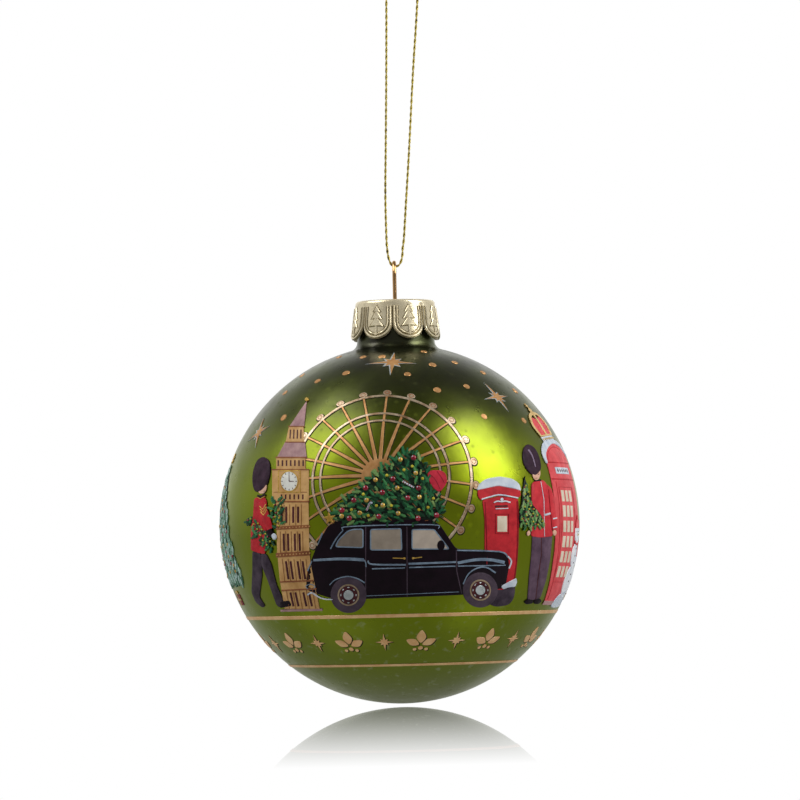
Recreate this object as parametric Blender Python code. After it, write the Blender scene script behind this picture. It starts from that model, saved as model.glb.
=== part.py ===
"""Hanging glass bauble: a blown ball with an open neck, a pressed cap, a sprung wire hanger and a loop of cord.

Frame: +Z up, metres. The origin is just inside the top of the cord's loop, where a twig or hook carries it. The
ball's axis is the Z axis, and the front of the ball faces -Y. Sizes are in millimetres, and heights are measured
from the ball's centre: above_centre turns them into frame coordinates.
"""

import math

import bmesh
import bpy
from mathutils import Vector

MM = 0.001

# Driving dimensions, in millimetres.
BALL_RADIUS = 40.0
GLASS_WALL = 0.8
HANG_HEIGHT = 120.8  # from the ball's centre up to the hanging point
NECK_RADIUS = 8.15  # outside, at the mouth
NECK_BASE_RADIUS = 8.65  # outside, where the neck flares into the ball
NECK_WALL = 1.0
NECK_TOP = 49.0
NECK_FLARE_TOP = 43.5
SHOULDER_FILLET = 2.0

CAP_SHEET = 0.35
CAP_TOP = 49.7
CAP_RIM_RADIUS = 8.85
CAP_HEM_RADIUS = 9.95
CAP_HEM = 41.0
CAP_PETALS = 8
PETAL_TURN = math.radians(-4.0)  # the slit beside the front petal, measured from the front
PETAL_TIP_HEIGHT = 3.6  # how far the rounded end of a petal reaches below its slits

WIRE_DIAMETER = 0.9
EYE_RADIUS = 2.9  # the eye's centreline
EYE_TOP = 58.8  # outside of the eye
LEG_TIP = 29.0
SLOT_RADIUS = 0.75

CORD_DIAMETER = 0.6
CORD_TO_EYE = 0.12  # clearance between the cord and the inside of the eye
CORD_JOINT_GAP = 0.3
TWIST_HEIGHT = 61.2  # where the cord's bight is taken to turn against its two strands
ARCH_SPRING = 118.0
ARCH_MIDDLE_X = 2.8
ARCH_RADIUS = 3.45
KNOT_HEIGHT = 3.0
KNOT_RADIUS = 1.2
STRAND_SPACING = 0.9  # between the two strands where they enter the knot
KNOT_MIDDLE = 125.2

BALL_TURNS = 40
CAP_SKIRT_ROWS = 3
PETAL_COLUMNS = 8
CORD_POINT_SPACING = 2.4

# Derived heights.
EYE_CENTRE = EYE_TOP - WIRE_DIAMETER / 2 - EYE_RADIUS
BIGHT_HEIGHT = EYE_TOP - WIRE_DIAMETER - CORD_TO_EYE - CORD_DIAMETER / 2


def above_centre(x, y, height):
    """A frame point, in metres, from x and y in millimetres and a height above the ball's centre."""
    return Vector((x, y, height - HANG_HEIGHT)) * MM


def clear_scene():
    for obj in list(bpy.data.objects):
        bpy.data.objects.remove(obj)


def material(name, colour, metallic, roughness):
    made = bpy.data.materials.new(name)
    made.use_nodes = True
    shader = made.node_tree.nodes["Principled BSDF"]
    shader.inputs["Base Color"].default_value = (*colour, 1.0)
    shader.inputs["Metallic"].default_value = metallic
    shader.inputs["Roughness"].default_value = roughness
    return made


def pivot(name, place, parent=None):
    """An empty at a frame point. Its children turn or slide about it."""
    empty = bpy.data.objects.new(name, None)
    empty.empty_display_size = 5 * MM
    bpy.context.scene.collection.objects.link(empty)
    empty.parent = parent
    empty.location = place - (frame_place(parent) if parent else Vector())
    return empty


def frame_place(obj):
    """Where an unturned object stands in the frame."""
    place = Vector()
    while obj:
        place += obj.location
        obj = obj.parent
    return place


def attach(name, data, finish, parent):
    """A new object for data, whose points are already relative to the parent's place."""
    obj = bpy.data.objects.new(name, data)
    bpy.context.scene.collection.objects.link(obj)
    obj.parent = parent
    data.materials.append(finish)
    return obj


def smooth_route(points, spacing):
    """Points about spacing apart along the smooth curve through the given ones (Catmull-Rom)."""
    ends = [2 * points[0] - points[1], *points, 2 * points[-1] - points[-2]]
    fine = [points[0]]
    steps = 24
    for before, start, end, after in zip(ends, ends[1:], ends[2:], ends[3:]):
        for step in range(1, steps + 1):
            t = step / steps
            fine.append(
                0.5
                * (
                    2 * start
                    + (end - before) * t
                    + (2 * before - 5 * start + 4 * end - after) * t**2
                    + (3 * start - before - 3 * end + after) * t**3
                )
            )
    length = sum((b - a).length for a, b in zip(fine, fine[1:]))
    count = max(4, round(length / spacing))
    route, run, wanted = [fine[0]], 0.0, length / count
    for a, b in zip(fine, fine[1:]):
        run += (b - a).length
        if run >= wanted and len(route) < count:
            route.append(b)
            wanted += length / count
    return [*route, fine[-1]]


def tube(name, route, diameter, finish, parent, sides_per_quarter=2):
    """A round rod or cord along frame points."""
    curve = bpy.data.curves.new(name, "CURVE")
    curve.dimensions = "3D"
    curve.bevel_depth = diameter / 2 * MM
    curve.bevel_resolution = sides_per_quarter
    curve.use_fill_caps = True
    spline = curve.splines.new("POLY")
    spline.points.add(len(route) - 1)
    for point, place in zip(spline.points, route):
        point.co = (*(place - frame_place(parent)), 1.0)
    return attach(name, curve, finish, parent)


def turned(name, profile, turns, finish, parent):
    """A solid turned about the Z axis from frame points (radius, 0, z). The profile ends on the axis or closes."""
    mesh = bpy.data.meshes.new(name)
    shape = bmesh.new()
    origin = frame_place(parent)
    points = [shape.verts.new(place - origin) for place in profile]
    edges = [shape.edges.new(pair) for pair in zip(points, points[1:])]
    bmesh.ops.spin(
        shape,
        geom=points + edges,
        cent=(0, 0, 0),
        axis=(0, 0, 1),
        angle=math.tau,
        steps=turns,
        use_merge=True,
    )
    bmesh.ops.remove_doubles(shape, verts=shape.verts, dist=0.001 * MM)
    bmesh.ops.recalc_face_normals(shape, faces=shape.faces)
    shape.to_mesh(mesh)
    shape.free()
    mesh.shade_smooth()
    mesh.set_sharp_from_angle(angle=math.radians(40))
    return attach(name, mesh, finish, parent)


def arc(middle, radius, start, end, steps):
    """Profile points (radius from the axis, height) on an arc. Angles are in radians from outwards."""
    return [
        (
            middle[0] + radius * math.cos(start + (end - start) * i / steps),
            middle[1] + radius * math.sin(start + (end - start) * i / steps),
        )
        for i in range(steps + 1)
    ]


def make_ball(finish, parent):
    """A blown ball and its neck, one wall thick all over and open at the mouth."""
    reach = NECK_BASE_RADIUS + SHOULDER_FILLET
    fillet_height = math.sqrt((BALL_RADIUS + SHOULDER_FILLET) ** 2 - reach**2)
    to_centre = math.atan2(-fillet_height, -reach)
    shoulder = math.atan2(fillet_height, reach)
    outside = [(NECK_RADIUS - 0.3, NECK_TOP), (NECK_RADIUS, NECK_TOP - 0.3)]
    outside += [(NECK_RADIUS, NECK_FLARE_TOP)]
    outside += arc((reach, fillet_height), SHOULDER_FILLET, -math.pi, to_centre, 5)
    outside += arc((0, 0), BALL_RADIUS, shoulder, -math.pi / 2, 22)[1:-1]
    outside += [(0, -BALL_RADIUS)]

    bore = NECK_RADIUS - NECK_WALL
    hollow = BALL_RADIUS - GLASS_WALL
    throat = math.acos((bore + 0.15) / hollow)
    inside = [(0, -hollow)]
    inside += arc((0, 0), hollow, -math.pi / 2, throat, 22)[1:]
    inside += [(bore, NECK_FLARE_TOP), (bore, NECK_TOP - 0.3), (bore + 0.3, NECK_TOP)]

    rim = [outside[0]]
    profile = [above_centre(r, 0, height) for r, height in outside + inside + rim]
    return turned("glass_ball", profile, BALL_TURNS, finish, parent)


def petal_columns():
    """(angle, 0 to 1 share of the petal tip) for every column of the skirt, closest together at the slits."""
    half = math.pi / CAP_PETALS
    for petal in range(CAP_PETALS):
        middle = PETAL_TURN + half * (2 * petal + 1)
        for column in range(PETAL_COLUMNS):
            across = -math.pi / 2 + math.pi * column / PETAL_COLUMNS
            yield middle + half * math.sin(across), math.cos(across)


def make_cap(finish, parent):
    """A pressed cap: a flat top with two slots for the wire, and a flared skirt cut into round-ended petals."""
    origin = frame_place(parent)
    shape = bmesh.new()
    slit_top = CAP_HEM + PETAL_TIP_HEIGHT
    skirt_top = CAP_TOP - 0.7
    flare = (CAP_HEM_RADIUS - CAP_RIM_RADIUS) / (skirt_top - CAP_HEM)
    rings = [(4.0, CAP_TOP), (8.0, CAP_TOP), (8.55, CAP_TOP - 0.2)]
    columns = []
    for angle, tip in petal_columns():
        hem = slit_top - PETAL_TIP_HEIGHT * tip
        heights = [skirt_top + (hem - skirt_top) * row / CAP_SKIRT_ROWS for row in range(CAP_SKIRT_ROWS + 1)]
        skirt = [(CAP_RIM_RADIUS + flare * (skirt_top - height), height) for height in heights]
        columns.append(
            [
                shape.verts.new(above_centre(r * math.sin(angle), -r * math.cos(angle), height) - origin)
                for r, height in rings + skirt
            ]
        )
    middle = shape.verts.new(above_centre(0, 0, CAP_TOP) - origin)
    for left, right in zip(columns, columns[1:] + columns[:1]):
        shape.faces.new((middle, left[0], right[0]))
        for row in range(len(left) - 1):
            shape.faces.new((left[row], left[row + 1], right[row + 1], right[row]))
    bmesh.ops.recalc_face_normals(shape, faces=shape.faces)
    mesh = bpy.data.meshes.new("cap")
    shape.to_mesh(mesh)
    shape.free()
    mesh.shade_smooth()
    mesh.set_sharp_from_angle(angle=math.radians(40))
    cap = attach("cap", mesh, finish, parent)
    sheet = cap.modifiers.new("sheet", "SOLIDIFY")
    sheet.thickness = CAP_SHEET * MM
    sheet.offset = -1
    sheet.use_even_offset = True
    for side in (-1, 1):
        cutter = slot_cutter(side, finish, parent)
        slot = cap.modifiers.new("slot", "BOOLEAN")
        slot.object = cutter
        slot.operation = "DIFFERENCE"
    return cap


def slot_cutter(side, finish, parent):
    """The drill for one of the wire's two holes in the cap."""
    mesh = bpy.data.meshes.new("slot_cutter")
    shape = bmesh.new()
    bmesh.ops.create_cone(
        shape,
        cap_ends=True,
        segments=12,
        radius1=SLOT_RADIUS * MM,
        radius2=SLOT_RADIUS * MM,
        depth=4 * MM,
    )
    shape.to_mesh(mesh)
    shape.free()
    cutter = attach(f"slot_cutter_{side}", mesh, finish, parent)
    cutter.location = above_centre(0, side * EYE_RADIUS, CAP_TOP) - frame_place(parent)
    cutter.hide_render = True
    cutter.display_type = "WIRE"
    return cutter


def make_hanger(finish, parent):
    """One length of spring wire: two bowed legs that grip the neck, and an eye above the cap."""
    bowed = ((5.0, LEG_TIP), (5.9, 33.0), (6.3, 37.5), (6.0, 41.0), (4.6, 45.0), (3.15, 48.1), (EYE_RADIUS, 49.2))
    leg = smooth_route([above_centre(0, y, height) for y, height in bowed], 1.6 * MM)
    crown = [above_centre(0, y, height) for y, height in arc((0, EYE_CENTRE), EYE_RADIUS, 0, math.pi, 14)]
    other_leg = [Vector((place.x, -place.y, place.z)) for place in reversed(leg)]
    return tube("hanger_wire", leg + crown + other_leg, WIRE_DIAMETER, finish, parent)


def make_cord(finish, held, bight):
    """The loop of cord: a bight through the eye, two strands, a knot over the arch and its two tails."""
    gap = CORD_JOINT_GAP
    knot_foot = KNOT_MIDDLE - KNOT_HEIGHT / 2
    knot_head = KNOT_MIDDLE + KNOT_HEIGHT / 2
    through_eye = (
        (-1.75, TWIST_HEIGHT),
        (-1.6, 59.9),
        (-1.25, 58.55),
        (-0.72, BIGHT_HEIGHT + 0.24),
        (0.0, BIGHT_HEIGHT),
        (0.72, BIGHT_HEIGHT + 0.24),
        (1.25, 58.55),
        (1.58, 59.9),
        (1.68, TWIST_HEIGHT),
    )
    left_run = ((-1.77, TWIST_HEIGHT + gap), (-1.88, 64.0), (-1.9, 73.5), (-1.55, 85.0), (-1.1, 100.0), (-0.8, 112.0))
    right_run = ((1.7, TWIST_HEIGHT + gap), (2.05, 64.0), (2.65, 71.5), (3.65, 83.8), (4.85, 100.3), (5.85, 112.0))
    rise = STRAND_SPACING / 2
    bights = [above_centre(x, 0, height) for x, height in through_eye]
    tube("cord_bight", smooth_route(bights, 1.0 * MM), CORD_DIAMETER, finish, bight)

    for name, side, run in (("left", -1, left_run), ("right", 1, right_run)):
        outer = ARCH_MIDDLE_X + side * ARCH_RADIUS
        over = [
            (outer, ARCH_SPRING),
            (ARCH_MIDDLE_X + side * 3.0, ARCH_SPRING + 1.75),
            (ARCH_MIDDLE_X + side * 1.75, ARCH_SPRING + 3.15),
            (ARCH_MIDDLE_X + side * 0.75, ARCH_SPRING + 4.3),
            (ARCH_MIDDLE_X + side * rise, knot_foot - gap),
        ]
        strand = [above_centre(x, 0, height) for x, height in (*run, *over)]
        spacing = CORD_POINT_SPACING * CORD_DIAMETER * MM
        tube(f"cord_{name}_strand", smooth_route(strand, spacing), CORD_DIAMETER, finish, held)
        tail = [
            above_centre(ARCH_MIDDLE_X + side * rise, 0, knot_head + gap),
            above_centre(ARCH_MIDDLE_X + side * 0.8, side * 0.2, knot_head + 1.9),
            above_centre(ARCH_MIDDLE_X + side * 2.0, side * 0.6, knot_head + 3.3),
            above_centre(ARCH_MIDDLE_X + side * 3.7, side * 0.9, knot_head + 3.5),
            above_centre(ARCH_MIDDLE_X + side * 5.2, side * 1.1, knot_head + 2.3),
        ]
        tube(f"cord_{name}_tail", smooth_route(tail, 0.9 * MM), CORD_DIAMETER, finish, held)

    waist = [(0, -KNOT_HEIGHT / 2), *arc((0, 0), KNOT_RADIUS, -math.pi / 3, math.pi / 3, 6), (0, KNOT_HEIGHT / 2)]
    stretch = KNOT_HEIGHT / 2 / (KNOT_RADIUS * math.sin(math.pi / 3))
    middle = pivot("knot_centre", above_centre(ARCH_MIDDLE_X, 0, KNOT_MIDDLE), held)
    profile = [Vector((r, 0, height * (stretch if r else 1))) * MM + frame_place(middle) for r, height in waist]
    turned("cord_knot", profile, 14, finish, middle)


def main():
    clear_scene()
    lacquer = material("green_lacquer", (0.20, 0.34, 0.03), 0.6, 0.3)
    cap_gold = material("cap_gold", (0.80, 0.70, 0.46), 1.0, 0.25)
    wire_gold = material("wire_gold", (0.83, 0.56, 0.30), 1.0, 0.2)
    cord_gold = material("cord_gold", (0.62, 0.52, 0.14), 0.8, 0.4)

    held = pivot("cord_held", Vector())
    twist = pivot("twist_axis", above_centre(0, 0, TWIST_HEIGHT), held)
    swing = pivot("swing_axis", above_centre(0, 0, BIGHT_HEIGHT), twist)
    cap_slide = pivot("cap_slide", above_centre(0, 0, CAP_TOP), swing)
    ball_pull = pivot("ball_pull", above_centre(0, 0, 0), cap_slide)

    make_cord(cord_gold, held, twist)
    make_hanger(wire_gold, swing)
    make_cap(cap_gold, cap_slide)
    make_ball(lacquer, ball_pull)


main()
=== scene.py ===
"""Looks for a hanging glass bauble: a lacquered ball with a raised print, a cap, a wire and a loop of cord.

The bauble's sizes are in millimetres, and its heights are measured from the ball's centre. The stage, the
shaders and the calls to the frame are in metres.
"""

import math
import random

import bpy
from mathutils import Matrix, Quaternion, Vector


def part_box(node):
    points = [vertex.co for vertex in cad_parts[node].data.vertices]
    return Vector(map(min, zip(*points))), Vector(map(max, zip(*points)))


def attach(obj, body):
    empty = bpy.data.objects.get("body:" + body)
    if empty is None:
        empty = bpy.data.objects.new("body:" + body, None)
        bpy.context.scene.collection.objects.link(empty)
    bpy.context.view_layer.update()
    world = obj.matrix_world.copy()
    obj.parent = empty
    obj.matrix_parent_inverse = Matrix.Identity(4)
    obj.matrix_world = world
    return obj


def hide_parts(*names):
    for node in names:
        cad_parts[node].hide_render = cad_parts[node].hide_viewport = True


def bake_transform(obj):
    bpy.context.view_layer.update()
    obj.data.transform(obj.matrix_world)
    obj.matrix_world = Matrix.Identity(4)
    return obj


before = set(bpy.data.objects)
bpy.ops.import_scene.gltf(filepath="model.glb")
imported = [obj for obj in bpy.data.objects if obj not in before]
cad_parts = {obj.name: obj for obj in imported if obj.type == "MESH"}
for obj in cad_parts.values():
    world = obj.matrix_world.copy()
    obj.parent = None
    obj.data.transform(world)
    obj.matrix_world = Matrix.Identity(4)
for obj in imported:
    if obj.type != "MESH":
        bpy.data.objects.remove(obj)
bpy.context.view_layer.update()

bl_info = {
    "name": "Glass bauble",
    "version": (1, 0, 0),
    "blender": (4, 5, 0),
    "location": "View3D > Sidebar > Bauble",
    "description": "Builds a printed glass bauble, its cap, wire and cord around the packed frame",
    "category": "Object",
}

MM = 0.001

# The frame's own sizes.
BALL_LOW, BALL_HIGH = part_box("glass_ball")
RADIUS = (BALL_HIGH.x - BALL_LOW.x) / 2 / MM
CENTRE = Vector((0, 0, BALL_LOW.z + RADIUS * MM))
NECK_TOP = (BALL_HIGH.z - CENTRE.z) / MM
CAP_LOW, CAP_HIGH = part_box("cap")
CAP_TOP = (CAP_HIGH.z - CENTRE.z) / MM
SKIRT_TOP = CAP_TOP - 0.7
CAP_HEM = (CAP_LOW.z - CENTRE.z) / MM
WIRE_LOW, WIRE_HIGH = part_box("hanger_wire")
WIRE_DIAMETER = (WIRE_HIGH.x - WIRE_LOW.x) / MM
EYE_TOP = (WIRE_HIGH.z - CENTRE.z) / MM

# Sizes that the frame's boxes don't give.
NECK_RADIUS = 8.15
NECK_BASE_RADIUS = 8.65
NECK_FLARE_TOP = 43.5
SHOULDER_FILLET = 2.0
GLASS_WALL = 0.8
GLASS_LIP = 0.4
CAP_RIM_RADIUS = 8.85
CAP_HEM_RADIUS = 9.95
CAP_SHEET = 0.35
CAP_CORNER = 0.75
SLOT_RADIUS = 0.72
PETALS = 8
PETAL_COLUMNS = 28
PETAL_TURN = math.radians(-4.0)
PETAL_TIP = 3.6
EYE_RADIUS = 2.9
CORD_DIAMETER = 0.6
CORD_MIDDLE_X = 2.8
CORD_SHIFT = 0.3
KNOT_MIDDLE = 125.2
YARN_MAP = 26.0  # the length of yarn that one height of its map covers
SUNK = 0.06  # how far the undersides of raised plates reach below the surface
MERGE = 0.002  # points closer than this are one
UNCUT, COARSE = 9.0, 4.0  # grids that leave small plates in one piece, or nearly so
VIEWER = Vector((0, -1080, -14))
PRINT_TILT = math.radians(1.3)


# ---- small helpers ----


def rgb(red, green, blue):
    """A display colour, 0 to 255, as the linear colour that shaders take."""
    return tuple(
        ((c / 255 + 0.055) / 1.055) ** 2.4 if c > 10 else c / 255 / 12.92 for c in (red, green, blue)
    )


def deselect_all():
    """Leaves nothing selected, in object mode."""
    if bpy.context.object and bpy.context.object.mode != "OBJECT":
        bpy.ops.object.mode_set(mode="OBJECT")
    bpy.ops.object.select_all(action="DESELECT")


def take_up(obj):
    """Makes obj the only selected and the active object."""
    deselect_all()
    obj.select_set(True)
    bpy.context.view_layer.objects.active = obj
    return obj


def apply_modifier(obj, name, kind, **settings):
    modifier = obj.modifiers.new(name, kind)
    for key, value in settings.items():
        setattr(modifier, key, value)
    take_up(obj)
    bpy.ops.object.modifier_apply(modifier=name)


def new_mesh(name, points, edges, faces):
    mesh = bpy.data.meshes.new(name)
    mesh.from_pydata(points, edges, faces)
    obj = bpy.data.objects.new(name, mesh)
    bpy.context.scene.collection.objects.link(obj)
    return take_up(obj)


def edit_all(obj):
    """Enters edit mode with the whole of obj selected."""
    take_up(obj)
    bpy.ops.object.mode_set(mode="EDIT")
    bpy.ops.mesh.select_all(action="SELECT")


def hand_over(obj, finish, body, slot, angle=40):
    """Smooths a finished piece, gives it its material, and puts it on its body."""
    take_up(obj)
    bpy.ops.object.shade_smooth_by_angle(angle=math.radians(angle))
    obj.data.materials.clear()
    obj.data.materials.append(finish)
    if body:
        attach(obj, body)
    return obj


def above_centre(x, y, height):
    """A place in the frame, from millimetres off the ball's centre."""
    return Vector((x, y, height)) * MM + CENTRE


def arc(middle, radius, start, end, steps):
    """Points along an arc, from one angle to another."""
    angles = [start + (end - start) * i / steps for i in range(steps + 1)]
    return [(middle[0] + radius * math.cos(a), middle[1] + radius * math.sin(a)) for a in angles]


def between(before, start, end, after, t):
    """Where a smooth curve is at share t of its way from start to end: numbers or vectors."""
    return 0.5 * (
        2 * start
        + (end - before) * t
        + (2 * before - 5 * start + 4 * end - after) * t**2
        + (3 * start - before - 3 * end + after) * t**3
    )


def smooth_route(points, step):
    """Points about step apart along the smooth curve through the given ones."""
    ends = [2 * points[0] - points[1], *points, 2 * points[-1] - points[-2]]
    fine = [points[0]]
    for four in zip(ends, ends[1:], ends[2:], ends[3:]):
        fine += [between(*four, i / 24) for i in range(1, 25)]
    length = sum((b - a).length for a, b in zip(fine, fine[1:]))
    count = max(4, round(length / step))
    route, run, wanted = [fine[0]], 0.0, length / count
    for a, b in zip(fine, fine[1:]):
        run += (b - a).length
        if run >= wanted and len(route) < count:
            route.append(b)
            wanted += length / count
    return [*route, fine[-1]]


# ---- drawing, laid flat ----
# A shape is a list of outlines, each a list of points (x right, y up, and if wanted how far proud).


def flow(points, steps=5, closed=False):
    """A smooth line through the given points."""
    count = len(points)
    ring = [points[-1], *points, points[0], points[1]] if closed else [points[0], *points, points[-1]]
    made = []
    for i in range(count if closed else count - 1):
        fours = list(zip(*ring[i : i + 4]))
        made += [tuple(between(*four, step / steps) for four in fours) for step in range(steps)]
    return made if closed else [*made, points[-1]]


def rounded(points, radius, steps=4):
    """The outline with its corners eased by the radius, or by less where its sides are short."""
    made = []
    for before, corner, after in zip(points[-1:] + points[:-1], points, points[1:] + points[:1]):
        before, corner, after = Vector(before), Vector(corner), Vector(after)
        back, on = before - corner, after - corner
        start = corner + back.normalized() * min(radius, back.length * 0.45)
        end = corner + on.normalized() * min(radius, on.length * 0.45)
        for i in range(steps + 1):
            t = i / steps
            made.append(tuple(start * (1 - t) ** 2 + corner * 2 * t * (1 - t) + end * t**2))
    return made


def stroke(points, width, end_width=None, closed=False):
    """A line of even or tapering width."""
    end_width = width if end_width is None else end_width
    last = len(points) - 1
    left, right = [], []
    for i, (x, y) in enumerate(points):
        before = points[i - 1] if i or closed else points[0]
        after = points[0] if i == last and closed else points[min(i + 1, last)]
        dx, dy = after[0] - before[0], after[1] - before[1]
        run = math.hypot(dx, dy) or 1.0
        half = (width + (end_width - width) * i / max(1, last)) / 2
        left.append((x - dy / run * half, y + dx / run * half))
        right.append((x + dy / run * half, y - dx / run * half))
    made = [[right[i], right[i + 1], left[i + 1], left[i]] for i in range(last)]
    if closed:
        made.append([right[last], right[0], left[0], left[last]])
    return made


def oval(x, y, across, up=None, sides=20, turn=0.0):
    """An ellipse: across and up are its half sizes, and turn is in degrees."""
    up = across if up is None else up
    c, s = math.cos(math.radians(turn)), math.sin(math.radians(turn))
    made = []
    for i in range(sides):
        a = math.tau * i / sides
        u, v = across * math.cos(a), up * math.sin(a)
        made.append((x + u * c - v * s, y + u * s + v * c))
    return made


def ring(x, y, across, width, up=None, sides=32):
    return stroke(oval(x, y, across, up, sides), width, closed=True)


def dome(x, y, radius, height, sides=12):
    """A round drop that stands proud: rings of faces up to a point."""
    rings = []
    for share in (1.0, 0.82, 0.5):
        lift = height * math.sqrt(1 - share**2)
        rings.append([(*p, lift) for p in oval(x, y, radius * share, sides=sides)])
    made = [
        [low[i], low[(i + 1) % sides], high[(i + 1) % sides], high[i]]
        for low, high in zip(rings, rings[1:])
        for i in range(sides)
    ]
    return made + [[rings[-1][i], rings[-1][(i + 1) % sides], (x, y, height)] for i in range(sides)]


def star(x, y, tips, waist, turn=0.0):
    """Points at even angles whose lengths repeat the given tips, with one waist radius between them."""
    made = []
    for i, tip in enumerate(tips):
        for j, reach in enumerate((tip, waist)):
            a = math.radians(turn) + math.tau * (i + j / 2) / len(tips)
            made.append((x - reach * math.sin(a), y + reach * math.cos(a)))
    return made


def moved(shape, x=0.0, y=0.0, turn=0.0, scale=1.0, lift=0.0):
    """A shape turned, scaled and then moved, with every point proud by lift more."""
    c, s = math.cos(math.radians(turn)) * scale, math.sin(math.radians(turn)) * scale
    return [
        [
            (x + p[0] * c - p[1] * s, y + p[0] * s + p[1] * c, (p[2] if len(p) > 2 else 0.0) + lift)
            for p in outline
        ]
        for outline in shape
    ]


def sprig(length, spread, needles=4):
    """A feathered twig that points up, from its foot at the origin."""
    right, left = [(0.05 * length, 0.0)], [(-0.05 * length, 0.0)]
    for i in range(needles):
        foot = length * (0.1 + 0.75 * i / needles)
        reach = spread * (1 - 0.55 * i / needles)
        for side, half in ((right, 1), (left, -1)):
            side.append((half * 0.07 * length, foot))
            side.append((half * reach, foot + 0.32 * length))
    return [right + [(0.0, length)] + left[::-1]]


def inside(x, y, outline):
    """Whether a place lies inside an outline."""
    hit = False
    for (ax, ay), (bx, by) in zip(outline, outline[1:] + outline[:1]):
        if (ay > y) != (by > y) and x < (bx - ax) * (y - ay) / (by - ay) + ax:
            hit = not hit
    return hit


# ---- where a flat drawing is laid ----


def askew(v):
    """A direction turned about the Y axis, because the picture is printed a little askew to the neck."""
    c, s = math.cos(PRINT_TILT), math.sin(PRINT_TILT)
    return Vector((v.x * c + v.z * s, v.y, v.z * c - v.x * s))


def as_seen(x, y, lift):
    """Lays a drawing on the ball so that it looks undistorted from the viewer's place in front."""
    ray = (Vector((x, 0, y)) - VIEWER).normalized()
    along = VIEWER.dot(ray)
    short = max(0.0, along**2 - VIEWER.length_squared + RADIUS**2)
    hit = VIEWER + ray * (-along - math.sqrt(short))
    return askew(hit.normalized()) * (RADIUS + lift) * MM + CENTRE


def around(azimuth, latitude, turn=0.0, plumb=False):
    """Lays a drawing on the ball, true to length, with its origin at a bearing and a latitude."""
    a, b, c = (math.radians(v) for v in (azimuth, latitude, turn))
    out = Vector((math.sin(a) * math.cos(b), -math.cos(a) * math.cos(b), math.sin(b)))
    right = Vector((math.cos(a), math.sin(a), 0))
    up = out.cross(right)
    if not plumb:
        out, right, up = askew(out), askew(right), askew(up)

    def lay(x, y, lift):
        x, y = x * math.cos(c) - y * math.sin(c), x * math.sin(c) + y * math.cos(c)
        run = math.hypot(x, y)
        if run < 1e-9:
            return out * (RADIUS + lift) * MM + CENTRE
        away = (right * x + up * y) / run
        angle = run / RADIUS
        return (out * math.cos(angle) + away * math.sin(angle)) * (RADIUS + lift) * MM + CENTRE

    return lay


def on_band(x, y, lift):
    """Lays a drawing round the ball: x is the bearing from the front and y the latitude, in degrees."""
    a, b = math.radians(x), math.radians(y)
    out = Vector((math.sin(a) * math.cos(b), -math.cos(a) * math.cos(b), math.sin(b)))
    return out * (RADIUS + lift) * MM + CENTRE


def skirt_radius(across, height):
    """The cap's outer radius. across is -1 at one slit of a petal and 1 at the next."""
    down = min(1.0, max(0.0, (SKIRT_TOP - height) / (SKIRT_TOP - CAP_HEM)))
    crease = 0.3 * math.exp(-(((1 - abs(across)) / 0.09) ** 2)) * min(1.0, down * 6)
    cone = CAP_RIM_RADIUS + (CAP_HEM_RADIUS - CAP_RIM_RADIUS) * down
    return cone + 0.14 * (1 - across**2) * down - crease - 0.1 * down


def on_petal(number):
    """Lays a drawing on one petal of the cap: x is measured from its middle, and y is a height."""
    middle = PETAL_TURN + math.pi / PETALS * (2 * number + 1)

    def lay(x, y, lift):
        flat = (CAP_RIM_RADIUS + CAP_HEM_RADIUS) / 2
        angle = x / flat
        radius = skirt_radius(angle / (math.pi / PETALS), y) + lift
        turn = middle + angle
        return above_centre(radius * math.sin(turn), -radius * math.cos(turn), y)

    return lay


def rim_points(mesh):
    """The points on the mesh's open edges."""
    uses = {}
    for face in mesh.polygons:
        for key in face.edge_keys:
            uses[key] = uses.get(key, 0) + 1
    return {i for key, count in uses.items() if count == 1 for i in key}


def relief(name, finish, slot, shape, height, lay, grid=2.0, chamfer=0.05, body="ball", tints=None):
    """Thin raised plates: the shape is laid flat, its edge chamfered and its face cut up, then laid in place.

    height is how far the plates stand proud, and tints gives each outline a value for the material to read.
    """
    points, faces = [], []
    for outline in shape:
        area = sum(a[0] * b[1] - b[0] * a[1] for a, b in zip(outline, outline[1:] + outline[:1]))
        outline = outline if area > 0 else outline[::-1]
        faces.append(range(len(points), len(points) + len(outline)))
        points += [(p[0], p[1], p[2] if len(p) > 2 else 0.0) for p in outline]
    obj = new_mesh(name, points, [], faces)
    mesh = obj.data
    if tints:
        mesh.attributes.new("shade", "FLOAT", "FACE").data.foreach_set("value", tints)
    edit_all(obj)
    bpy.ops.mesh.remove_doubles(threshold=MERGE)
    if chamfer:
        bpy.ops.mesh.inset(thickness=chamfer, depth=0, use_even_offset=True)
        bpy.ops.object.mode_set(mode="OBJECT")
        for i in rim_points(mesh):
            mesh.vertices[i].co.z -= chamfer
        bpy.ops.object.mode_set(mode="EDIT")
    for axis, normal in enumerate(((1, 0, 0), (0, 1, 0))):
        low, high = min(p[axis] for p in points), max(p[axis] for p in points)
        for step in range(math.floor(low / grid) + 1, math.ceil(high / grid)):
            bpy.ops.mesh.select_all(action="SELECT")
            bpy.ops.mesh.bisect(plane_co=[step * grid * n for n in normal], plane_no=normal, threshold=0.0005)
    bpy.ops.mesh.select_all(action="SELECT")
    bpy.ops.mesh.quads_convert_to_tris()
    bpy.ops.object.mode_set(mode="OBJECT")
    for point in mesh.vertices:
        x, y, lift = point.co
        point.co = lay(x, y, height + lift)
    apply_modifier(obj, "wall", "SOLIDIFY", thickness=(height + SUNK) * MM, offset=-1)
    return hand_over(obj, finish, body, slot)


# ---- materials ----


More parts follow.
